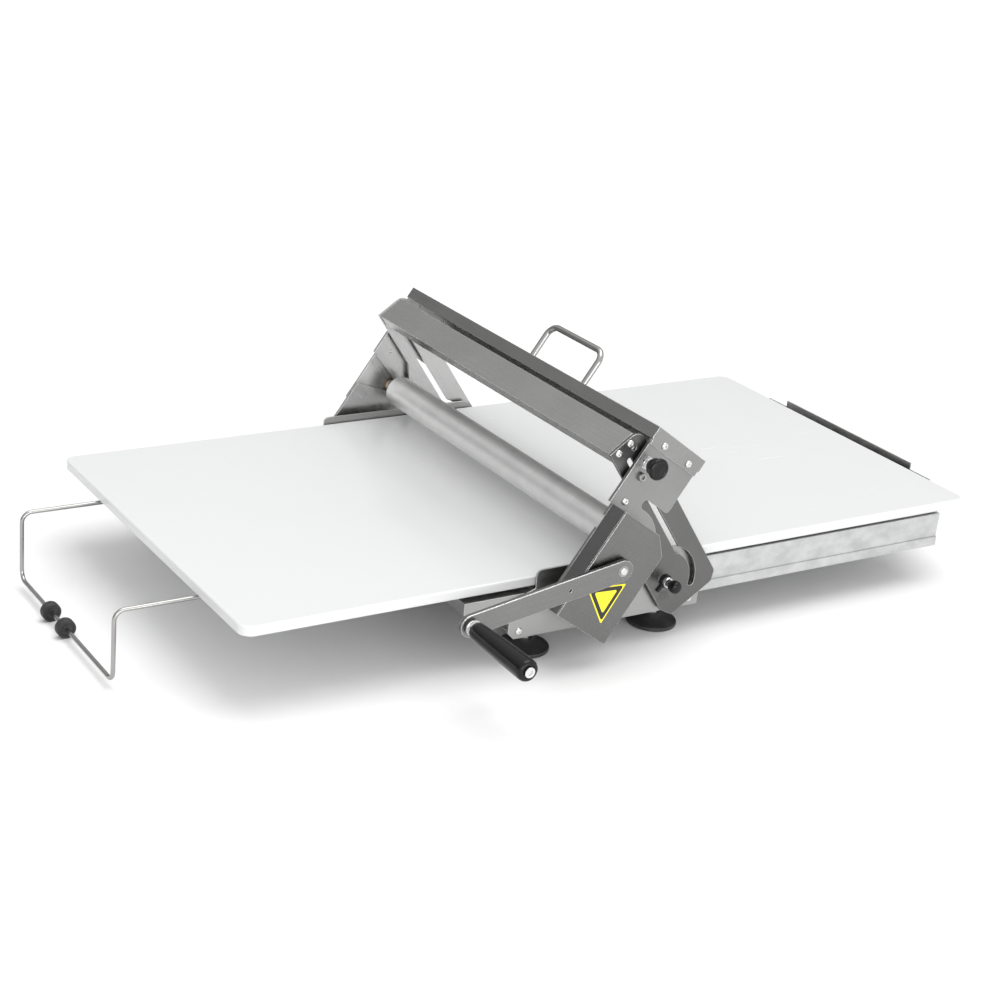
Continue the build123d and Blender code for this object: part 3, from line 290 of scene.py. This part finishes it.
def moulded(name, colour, rough, fine, depth, dust, gloss=0.5):
    material, tree, shader = newMaterial(name, colour, rough, 0.0, Specular_IOR_Level=gloss)
    skin = noiseOn(tree, surfaceCoords(tree), fine, 3.0, 0.6)
    worn = noiseOn(tree, surfaceCoords(tree), 60.0, 5.0, 0.65)
    dusty = tuple(channel + dust for channel in colour)
    dress(tree, shader, blendColour(tree, spread(tree, worn, 0.45, 0.75, 0.0, 1.0), colour, dusty),
          fromNoise(tree, worn, rough - 0.05, rough + 0.10), bumpFrom(tree, skin, depth))
    return material


finish = {name: brushedSteel(name, **look) for name, look in steelLooks.items()}
finish.update({name: turnedMetal(name, **look) for name, look in turnedLooks.items()})
finish.update({name: moulded(name, **look) for name, look in mouldedLooks.items()})
finish["boardPlastic"] = boardPlastic()
finish["traySteel"] = traySteel()
finish["rodSteel"] = rodSteel()

wornBy = {
    "boardPlastic": ["dough_board"],
    "panelSteel": ["near_side_panel", "far_side_panel", "left_shelf"],
    "traySteel": ["near_tray_rail", "far_tray_rail", "tray_pan"],
    "carrierSteel": ["near_carrier_plate", "near_bearing_plate"],
    "farSteelPaintedLighter": ["far_carrier_plate", "far_bearing_plate", "far_strut_plate"],
    "extensionSteel": ["extension_plate"],
    "coverSteel": ["gear_housing", "gear_cover"],
    "strutSteel": ["near_strut_plate"],
    "strutBarSteel": ["strut_crossbar"],
    "barSteel": ["carrier_crossbar", "base_tie_bars", "cover_posts"],
    "armSteel": ["crank_arm"],
    "rollerMetal": ["dough_roller", "roller_end_plugs", "left_idler_roller", "right_idler_roller"],
    "rodSteel": ["lift_handle", "wire_support"],
    "gearSteel": ["roller_shaft", "shaft_collars", "roller_gear", "crank_gear", "crank_shaft",
                  "index_plunger_pin"],
    "brightFastener": ["strut_hub_studs", "carrier_pivot_studs", "hub_knob_spindle", "crank_screw"],
    "bronzeBush": ["roller_bushes", "crank_bushes"],
    "guidePlastic": ["idler_bushes", "pivot_spacers", "wire_guides", "extension_guides"],
    "blackPlastic": ["gap_pointer"],
}
for finishName, painted in wornBy.items():
    for nodeName in painted:
        mesh = nodes[nodeName].data
        mesh.materials.clear()
        mesh.materials.append(finish[finishName])
print("materials on", sum(len(painted) for painted in wornBy.values()), "nodes")


# shape helpers
def solidsOf(node):
    # lowest and highest corner of each separate solid in a node
    bm = bmesh.new()
    bm.from_mesh(nodes[node].data)
    bmesh.ops.remove_doubles(bm, verts=bm.verts, dist=0.001 * mm)
    waiting = set(bm.verts)
    boxes = []
    while waiting:
        stack = [waiting.pop()]
        found = []
        while stack:
            vert = stack.pop()
            found.append(vert.co.copy())
            for edge in vert.link_edges:
                other = edge.other_vert(vert)
                if other in waiting:
                    waiting.remove(other)
                    stack.append(other)
        low = Vector(min(point[i] for point in found) for i in range(3))
        high = Vector(max(point[i] for point in found) for i in range(3))
        boxes.append((low, high))
    bm.free()
    return sorted(boxes, key=lambda pair: tuple(round(value, 5) for value in pair[0]))


def innerEnd(node):
    # middle of the end that faces the board, on a piece that stands out from the near side
    low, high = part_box(node)
    return Vector(((low.x + high.x) / 2, high.y, (low.z + high.z) / 2))


def lengthOf(node):
    low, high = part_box(node)
    return (high.y - low.y) / mm


def standing(foot, direction=nearSide):
    # place of a shape turned in millimetres: its own Z runs along direction
    turned = Vector(direction).to_track_quat("Z", "Y").to_matrix().to_4x4()
    return Matrix.Translation(foot) @ turned @ Matrix.Scale(mm, 4)


def turnedShape(bm, place, rings, steps=48):
    # rings are (radius, height), or (half across flats, height, lift at the corners) for a hexagon
    previous = None
    for ring in rings:
        radius, height = ring[0], ring[1]
        verts = []
        for step in range(steps if radius > 0 else 1):
            angle = 2 * math.pi * step / steps
            reach = radius
            if len(ring) > 2:
                reach = radius / math.cos((angle + math.pi / 6) % (math.pi / 3) - math.pi / 6)
            rise = height + (ring[2] * (reach - radius) if len(ring) > 2 else 0)
            point = Vector((reach * math.cos(angle), reach * math.sin(angle), rise))
            verts.append(bm.verts.new(place @ point))
        if previous is None:
            if len(verts) > 2:
                bm.faces.new(verts)
        elif len(verts) == 1 or len(previous) == 1:
            tip, around = (verts[0], previous) if len(verts) == 1 else (previous[0], verts)
            for step in range(steps):
                bm.faces.new((tip, around[step], around[(step + 1) % steps]))
        else:
            for step in range(steps):
                after = (step + 1) % steps
                bm.faces.new((previous[step], previous[after], verts[after], verts[step]))
        previous = verts
    if len(previous) > 2:
        bm.faces.new(previous)


def makePiece(name, bm, finishes, body, replaced=None, crease=32.0):
    bmesh.ops.recalc_face_normals(bm, faces=bm.faces)
    for face in bm.faces:
        face.smooth = True
    for edge in bm.edges:
        edge.smooth = edge.calc_face_angle(0.0) < math.radians(crease)
    mesh = bpy.data.meshes.new(name)
    bm.to_mesh(mesh)
    bm.free()
    for finishName in finishes:
        mesh.materials.append(finish[finishName])
    piece = bpy.data.objects.new(name, mesh)
    bpy.context.scene.collection.objects.link(piece)
    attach(piece, body)
    if replaced:
        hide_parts(replaced)


def turnedPiece(name, place, rings, steps, finishName, body, replaced=None):
    bm = bmesh.new()
    turnedShape(bm, place, rings, steps)
    makePiece(name, bm, [finishName], body, replaced)


# button head screws
screwLook = {"headHeight": 2.4, "socketFlats": 1.35, "socketDepth": 1.3, "shank": 2.0, "chamfer": 0.4}


def domeRings(radius, height, count=5, topDeg=82.0):
    # quarter-round from the rim of a head towards its top
    rings = []
    for step in range(count + 1):
        angle = math.radians(topDeg) * step / count
        rings.append((radius * (0.38 + 0.62 * math.cos(angle)), height * (0.25 + 0.75 * math.sin(angle))))
    return rings


def buttonScrews(node, body, longestOutside=40.0):
    # screws longer than longestOutside have their heads on the plate's inner face
    look = screwLook
    bm = bmesh.new()
    for low, high in solidsOf(node):
        centre = (low + high) / 2
        length = (high.y - low.y) / mm
        facingNear = (centre.y < midY) == (length < longestOutside)
        outward = nearSide if facingNear else -nearSide
        tip = Vector((centre.x, high.y if facingNear else low.y, centre.z))
        radius = (high.x - low.x) / 2 / mm
        seat = length - look["headHeight"]
        rings = [(0, 0), (look["shank"] - look["chamfer"], 0), (look["shank"], look["chamfer"])]
        rings += [(look["shank"], seat), (radius - 0.25, seat)]
        rings += [(reach, seat + rise) for reach, rise in domeRings(radius, look["headHeight"])]
        rings += [(look["socketFlats"] * 1.2, length), (look["socketFlats"], length - 0.1, 0.0),
                  (look["socketFlats"], length - look["socketDepth"], 0.0),
                  (0, length - look["socketDepth"] - 0.3)]
        turnedShape(bm, standing(tip, outward), rings)
    makePiece(node + "_domed", bm, ["brightFastener"], body, node)


for screwNode, screwBody in (("tie_bar_screws", "base"), ("strut_bar_screws", "strut_frame"),
                             ("carrier_bar_screws", "carrier"), ("bearing_plate_screws", "carrier")):
    buttonScrews(screwNode, screwBody)
buttonScrews("cover_screws", "carrier", 12.0)

# hexagon nuts on the ends of the lift handle
cornerSlope = math.tan(math.radians(30))      # of the chamfer on a nut's corners
handleNutLook = {"flats": 6.5, "halfHeight": 2.5, "bore": 4.0}


def nutRings(flats, low, high, bore):
    # flats is half the width across flats
    return [(bore, low), (flats * 0.97, low), (flats, low, cornerSlope), (flats, high, -cornerSlope),
            (flats * 0.97, high), (bore + 0.4, high), (bore, high - 0.4)]


def handleNuts():
    look = handleNutLook
    bm = bmesh.new()
    up = Vector((math.cos(math.radians(lean["carrier"])), 0, math.sin(math.radians(lean["carrier"]))))
    rings = nutRings(look["flats"], -look["halfHeight"], look["halfHeight"], look["bore"])
    for low, high in solidsOf("handle_nuts"):
        turnedShape(bm, standing((low + high) / 2, up), rings)
    makePiece("handle_nuts_chamfered", bm, ["brightFastener"], "carrier", "handle_nuts")


handleNuts()

# levelling feet, and their studs with three nuts each
footLook = {"radius": 30.0, "rim": 5.0, "top": 14.0, "neck": 10.0}
studLook = {"thread": 3.9, "pitch": 1.25, "nutFlats": 6.5, "nutHeight": 6.0, "panel": 2.0}


def floorCentre(low, high):
    return Vector(((low.x + high.x) / 2, (low.y + high.y) / 2, 0))


def levellingFeet():
    look = footLook
    radius, rim, neck, top = look["radius"], look["rim"], look["neck"], look["top"]
    rings = [(0, 1.2), (radius - 9, 1.2), (radius - 8, 0), (radius - 1.6, 0), (radius - 0.4, 0.6),
             (radius, 1.8), (radius, rim - 1.2), (radius - 0.5, rim - 0.3), (radius - 1.8, rim),
             (radius - 4, rim + 0.2),
             (radius - 10, 7.6), (radius - 14.5, 9.4), (neck + 2, 11.4), (neck + 0.6, 12.6),
             (neck, top - 0.8), (neck - 0.8, top), (0, top)]
    bm = bmesh.new()
    for low, high in solidsOf("rubber_feet"):
        turnedShape(bm, standing(floorCentre(low, high), (0, 0, 1)), rings, 72)
    makePiece("rubber_feet_moulded", bm, ["blackRubber"], "base", "rubber_feet")


def footStuds():
    look = studLook
    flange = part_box("near_side_panel")[0].z / mm
    bm = bmesh.new()
    for low, high in solidsOf("foot_studs"):
        bottom, top = footLook["top"] - 1.0, high.z / mm
        rings = [(0, bottom)]
        level = bottom
        while level + look["pitch"] < top - 0.5:
            rings += [(look["thread"] - 0.55, level), (look["thread"], level + look["pitch"] / 2)]
            level += look["pitch"]
        rings += [(look["thread"] - 0.7, top - 0.2), (look["thread"] - 1.2, top), (0, top)]
        place = standing(floorCentre(low, high), (0, 0, 1))
        turnedShape(bm, place, rings, 24)
        for level in (footLook["top"], flange - look["nutHeight"], flange + look["panel"]):
            nut = nutRings(look["nutFlats"], level, level + look["nutHeight"], look["thread"] + 0.05)
            turnedShape(bm, place, nut)
    makePiece("foot_studs_threaded", bm, ["brightFastener"], "base", "foot_studs")


levellingFeet()
footStuds()

# index plunger
indexLook = {"waist": 10.2, "rim": 12.6, "length": 14.0}
indexBodyLook = {"bore": 3.1, "shank": 5.0, "nutFlats": 7.0, "nutHeight": 5.5, "collar": 5.6, "outside": 9.0}


def indexKnob():
    look = indexLook
    waist, rim, length = look["waist"], look["rim"], look["length"]
    rings = [(3.05, 0), (waist - 1.4, 0), (waist - 0.6, 0.5), (waist, 1.6), (waist, length * 0.42),
             (waist + 0.5, length * 0.52), (rim - 0.4, length * 0.62), (rim, length * 0.68),
             (rim, length - 2.4), (rim - 0.4, length - 1.3), (rim - 1.3, length - 0.5),
             (rim - 2.6, length - 0.1), (rim - 3.4, length - 0.2), (rim - 4.0, length - 0.6),
             (3.0, length - 0.5), (1.6, length - 0.2), (0, length - 0.1)]
    turnedPiece("index_knob_moulded", standing(innerEnd("index_plunger_knob")), rings, 64, "blackPlastic",
                "index_plunger", "index_plunger_knob")


def indexBody():
    look = indexBodyLook
    length = lengthOf("index_plunger_body")
    seat = length - look["outside"]
    nutTop = seat + look["nutHeight"]
    rings = [(look["bore"], 0), (look["shank"], 0), (look["shank"], seat)]
    rings += nutRings(look["nutFlats"], seat, nutTop, 5.4)[1:5]
    rings += [(look["collar"], nutTop), (look["collar"], length - 0.5), (look["collar"] - 0.5, length),
              (look["bore"], length)]
    turnedPiece("index_body_turned", standing(innerEnd("index_plunger_body")), rings, 48, "brightFastener",
                "carrier", "index_plunger_body")


indexKnob()
indexBody()

# hub clamp knob with its steel collar
hubKnobLook = {"bore": 3.1, "neck": 4.6, "body": 7.4, "length": 22.0, "collar": 5.0}


def hubKnob():
    look = hubKnobLook
    bore, neck, body, length, collar = (look[key] for key in ("bore", "neck", "body", "length", "collar"))
    place = standing(innerEnd("hub_clamp_knob"))
    steel = [(bore, 0), (neck + 1.6, 0), (neck + 2.0, 0.4), (neck + 2.0, collar - 1.2), (neck + 1.2, collar),
             (neck, collar), (bore, collar)]
    turnedPiece("hub_knob_collar", place, steel, 64, "brightFastener", "hub_knob")
    rings = [(bore, collar), (neck, collar), (neck, collar + 2.0), (neck + 0.8, collar + 4.0),
             (body - 0.6, collar + 7.0), (body, collar + 9.0), (body, length - 3.4),
             (body - 0.6, length - 1.8), (body - 1.8, length - 0.6), (body - 3.6, length - 0.05), (0, length)]
    turnedPiece("hub_knob_moulded", place, rings, 64, "blackPlastic", "hub_knob",
                "hub_clamp_knob")


hubKnob()

# guide studs with socket heads
guideLook = {"head": 5.0, "height": 4.5, "flats": 2.2, "depth": 2.4, "shank": 2.5}


def guideStuds():
    look = guideLook
    shank, head, flats = look["shank"], look["head"], look["flats"]
    bm = bmesh.new()
    for low, high in solidsOf("guide_studs"):
        near = (low.y + high.y) / 2 < midY
        tip = Vector(((low.x + high.x) / 2, high.y if near else low.y, (low.z + high.z) / 2))
        top = (high.y - low.y) / mm
        seat = top - look["height"]
        rings = [(0, 0), (shank - 0.3, 0), (shank, 0.3), (shank, seat), (head - 0.3, seat),
                 (head, seat + 0.4), (head, top - 0.6), (head - 0.6, top), (flats * 1.25, top),
                 (flats, top - 0.2, 0.0),
                 (flats, top - look["depth"], 0.0), (0, top - look["depth"] - 0.5)]
        turnedShape(bm, standing(tip, nearSide if near else -nearSide), rings)
    makePiece("guide_studs_turned", bm, ["gearSteel"], "carrier", "guide_studs")


guideStuds()

# crank grip with its steel ferrule
gripLook = {"bore": 4.1, "foot": 9.6, "belly": 12.5, "capRadius": 6.4, "capRecess": 1.0, "swellSteps": 14}
ferruleLook = {"height": 6.5, "nutFlats": 7.6, "nutSeat": 2.6, "nutBore": 5.0}


def crankGrip():
    look = gripLook
    bore, foot, belly, cap = look["bore"], look["foot"], look["belly"], look["capRadius"]
    place = standing(Vector((gripAxis.x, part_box("crank_grip")[1].y, gripAxis.z)))
    length = lengthOf("crank_grip")
    ferrule, seat, flats = ferruleLook["height"], ferruleLook["nutSeat"], ferruleLook["nutFlats"]
    steel = [(bore, 0), (foot - 0.9, 0), (foot - 0.4, 0.5), (foot - 0.4, 2.2), (foot - 1.0, seat),
             (flats, seat, cornerSlope), (flats, ferrule, -cornerSlope), (ferruleLook["nutBore"], ferrule),
             (bore, ferrule)]
    turnedPiece("crank_grip_ferrule", place, steel, 72, "brightFastener", "grip")
    rings = [(bore, ferrule), (foot - 1.6, ferrule), (foot - 0.6, ferrule + 0.6)]
    for step in range(look["swellSteps"] + 1):
        share = step / look["swellSteps"]
        swell = math.sin(share * math.pi / 2) ** 0.8
        rings.append((foot + (belly - foot) * swell, ferrule + 1.5 + share * (length - ferrule - 10.5)))
    rings += [(belly, length - 5.5), (belly - 0.3, length - 3.2), (belly - 1.2, length - 1.3),
              (belly - 2.6, length - 0.3), (belly - 3.8, length), (cap + 0.9, length - 0.1),
              (cap + 0.5, length - look["capRecess"]), (bore, length - look["capRecess"])]
    turnedPiece("crank_grip_moulded", place, rings, 72, "blackPlastic", "grip", "crank_grip")


crankGrip()

# spindle of the grip, with its nut, washer and socket head
spindleLook = {"shank": 4.0, "nutFlats": 6.9, "nutHeight": 2.0, "head": 6.0, "headHeight": 2.0, "socket": 3.0}


def gripSpindle():
    look = spindleLook
    shank, flats, head, socket = look["shank"], look["nutFlats"], look["head"], look["socket"]
    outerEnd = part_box("grip_spindle")[1].y
    seat = (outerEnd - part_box("crank_arm")[0].y) / mm
    top = seat + look["nutHeight"]
    end = lengthOf("grip_spindle")
    underHead = end - look["headHeight"]
    rings = [(0, 0), (shank, 0), (shank, seat), (flats * 0.97, seat), (flats, seat + 0.1, cornerSlope),
             (flats, top, -cornerSlope), (flats * 0.97, top), (shank, top), (shank, underHead),
             (head, underHead), (head, end - 0.8), (head - 0.7, end), (socket * 1.25, end),
             (socket, end - 0.2, 0.0), (socket, end - 1.8, 0.0), (0, end - 2.2)]
    place = standing(Vector((gripAxis.x, outerEnd, gripAxis.z)))
    turnedPiece("grip_spindle_turned", place, rings, 48, "brightFastener", "crank",
                "grip_spindle")


gripSpindle()

# support wheels
wheelLook = {"bore": 2.56, "hub": 5.0, "dish": 1.2}


def supportWheel(node, body):
    look = wheelLook
    low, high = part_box(node)
    width = lengthOf(node)
    radius = (high.x - low.x) / 2 / mm
    side = [(look["bore"], 0.2), (look["hub"], 0.2), (look["hub"] + 0.4, look["dish"]),
            (radius - 3.4, look["dish"]), (radius - 2.8, 0.3), (radius - 1.6, 0), (radius - 0.6, 0.15),
            (radius - 0.15, 0.6), (radius, 1.2)]
    middle = [(radius, width / 2 - 0.5), (radius, width / 2 + 0.5)]
    rings = side + middle + [(reach, width - rise) for reach, rise in reversed(side)]
    rings.append(rings[0])
    turnedPiece(node + "_moulded", standing(innerEnd(node)), rings, 56, "blackRubber", body,
                node)


supportWheel("inner_support_wheel", "inner_wheel")
supportWheel("outer_support_wheel", "outer_wheel")

# yellow triangle on the gear cover, placed along and across the carrier from the roller's axis
labelLook = {"across": 3.8, "along": -68.4, "corner": 30.6, "round": 1.0, "inset": 1.6, "ring": 4.6,
             "thick": 0.18, "apexDeg": 267.0}


def carrierPoint(along, across, y):
    angle = math.radians(lean["carrier"])
    offset = Vector((along * math.cos(angle) - across * math.sin(angle), 0,
                     along * math.sin(angle) + across * math.cos(angle)))
    return Vector((rollerAxis.x, y, rollerAxis.z)) + offset * mm


def roundedTriangle(corner, rounding, steps=10):
    points = []
    for number in range(3):
        middle = math.radians(labelLook["apexDeg"] + 120 * number)
        centre = Vector((math.cos(middle), math.sin(middle))) * (corner - 2 * rounding)
        for step in range(steps + 1):
            angle = middle + math.radians(-60 + 120 * step / steps)
            points.append(centre + Vector((math.cos(angle), math.sin(angle))) * rounding)
    return points


def coverLabel():
    look = labelLook
    centre = carrierPoint(look["along"], look["across"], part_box("gear_cover")[0].y)
    # foot and top of the rim, then the outer and inner edge of the black ring: inset, rounding, height
    outlines = ((0.0, 1.0, 0.0), (0.0, 1.0, look["thick"]), (look["inset"], 2.2, look["thick"]),
                (look["inset"] + look["ring"], 1.6, look["thick"]))
    bm = bmesh.new()
    loops = []
    for inset, rounding, height in outlines:
        points = roundedTriangle(look["corner"] - 2 * inset, look["round"] * rounding)
        loops.append([bm.verts.new(centre + Vector((p.x * mm, -height * mm, p.y * mm))) for p in points])
    count = len(loops[0])
    for number, (outer, inner) in enumerate(zip(loops, loops[1:])):
        for step in range(count):
            after = (step + 1) % count
            band = bm.faces.new((outer[step], outer[after], inner[after], inner[step]))
            band.material_index = 1 if number == 2 else 0
    bm.faces.new(loops[-1])
    makePiece("cover_label", bm, ["yellowVinyl", "blackVinyl"], "carrier")


coverLabel()

# scale lines beside the pointer
scaleLook = {"radius": 13.0, "length": 11.0, "wide": 0.5, "startDeg": 252.0, "stepDeg": 6.0, "count": 7,
             "thick": 0.05, "longEvery": 3, "longer": 1.15}


def scaleLines():
    look = scaleLook
    centre = Vector((hubAxis.x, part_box("near_strut_plate")[0].y, hubAxis.z))
    bm = bmesh.new()
    for number in range(look["count"]):
        angle = math.radians(look["startDeg"] + number * look["stepDeg"])
        outward = Vector((math.cos(angle), 0, math.sin(angle)))
        side = Vector((-math.sin(angle), 0, math.cos(angle))) * look["wide"] / 2
        start = look["radius"]
        end = start + look["length"] * (look["longer"] if number % look["longEvery"] == 0 else 1.0)
        corners = [outward * start - side, outward * end - side, outward * end + side, outward * start + side]
        low = [bm.verts.new(centre + corner * mm) for corner in corners]
        high = [bm.verts.new(vert.co - Vector((0, look["thick"] * mm, 0))) for vert in low]
        bm.faces.new(high)
        bm.faces.new(low)
        for step in range(4):
            after = (step + 1) % 4
            bm.faces.new((low[step], low[after], high[after], high[step]))
    makePiece("gap_scale_lines", bm, ["inkBlack"], "strut_frame")


scaleLines()
print("pieces made")

# floor, lights and camera
floorLook = {"colour": (0.82, 0.82, 0.82), "rough": 0.7, "gloss": 0.1, "reach": 30.0, "below": 0.0002}
keyLook = {"towards": (0.2, -0.05, 1.0), "power": 1.5, "widthDeg": 50.0}
lowLook = {"place": (-0.5, -2.2, 0.45), "target": (-0.25, 0.1, 0.0), "size": (2.4, 0.5), "power": 20.0}
skyLook = {"horizon": 0.02, "overhead": 1.18, "front": 1.05, "frontFrom": 0.45, "frontFull": -0.25}
cameraLook = {"place": (-1.2816, -1.7945, 1.0028), "turnDeg": 34.507, "dipDeg": 22.074, "rollDeg": 5.702,
              "lens": 71.07, "sensor": 36.0, "sight": 200.0}


def newObject(name, data):
    made = bpy.data.objects.new(name, data)
    bpy.context.scene.collection.objects.link(made)
    return made


def aim(thing, direction, ownAxis):
    thing.rotation_mode = "QUATERNION"
    thing.rotation_quaternion = direction.to_track_quat(ownAxis, "Y")


def studioFloor():
    look = floorLook
    reach = look["reach"]
    bm = bmesh.new()
    corners = ((-reach, -reach), (reach, -reach), (reach, reach), (-reach, reach))
    bm.faces.new([bm.verts.new((x, y, -look["below"])) for x, y in corners])
    mesh = bpy.data.meshes.new("studioFloor")
    bm.to_mesh(mesh)
    bm.free()
    paint = newMaterial("floorPaint", look["colour"], look["rough"], 0.0, Specular_IOR_Level=look["gloss"])
    mesh.materials.append(paint[0])
    floor = newObject("studioFloor", mesh)


def keyLight():
    # a wide soft light from above, as even at the edges of the floor as in the middle
    data = bpy.data.lights.new("keyLight", "SUN")
    data.energy = keyLook["power"]
    data.angle = math.radians(keyLook["widthDeg"])
    aim(newObject("keyLight", data), Vector(keyLook["towards"]), "Z")


def lowLight():
    # reaches the floor under the board from the front
    data = bpy.data.lights.new("lowLight", "AREA")
    data.shape = "RECTANGLE"
    data.size, data.size_y = lowLook["size"]
    data.energy = lowLook["power"]
    light = newObject("lowLight", data)
    light.location = lowLook["place"]
    aim(light, Vector(lowLook["target"]) - Vector(lowLook["place"]), "-Z")


def skyLight():
    # bright overhead and at the front, dark at the horizon behind
    look = skyLook
    world = bpy.data.worlds.new("studioSky")
    bpy.context.scene.world = world
    world.use_nodes = True
    tree = world.node_tree
    background = tree.nodes["Background"]
    background.inputs["Color"].default_value = (1, 1, 1, 1)
    coords = addNode(tree, "ShaderNodeTexCoord")
    parts = addNode(tree, "ShaderNodeSeparateXYZ")
    tree.links.new(coords.outputs["Generated"], parts.inputs["Vector"])
    glow = spread(tree, parts.outputs["Z"], 0.0, 1.0, look["horizon"], look["overhead"])
    towardsFront = spread(tree, parts.outputs["Y"], look["frontFrom"], look["frontFull"], 0.0, 1.0)
    fromFront = combine(tree, "MULTIPLY", towardsFront, look["front"])
    tree.links.new(combine(tree, "MAXIMUM", glow, fromFront), background.inputs["Strength"])


def addCamera():
    look = cameraLook
    data = bpy.data.cameras.new("camera")
    data.lens = look["lens"]
    data.sensor_width = look["sensor"]
    data.clip_end = look["sight"]
    camera = newObject("camera", data)
    turn, dip = math.radians(look["turnDeg"]), math.radians(look["dipDeg"])
    forward = Vector((math.sin(turn) * math.cos(dip), math.cos(turn) * math.cos(dip), -math.sin(dip)))
    camera.location = look["place"]
    camera.rotation_mode = "QUATERNION"
    roll = Quaternion((0, 0, 1), math.radians(look["rollDeg"]))
    camera.rotation_quaternion = forward.to_track_quat("-Z", "Y") @ roll
    bpy.context.scene.camera = camera


studioFloor()
skyLight()
keyLight()
lowLight()
addCamera()
bpy.context.scene.view_settings.view_transform = "Standard"
print("studio ready")
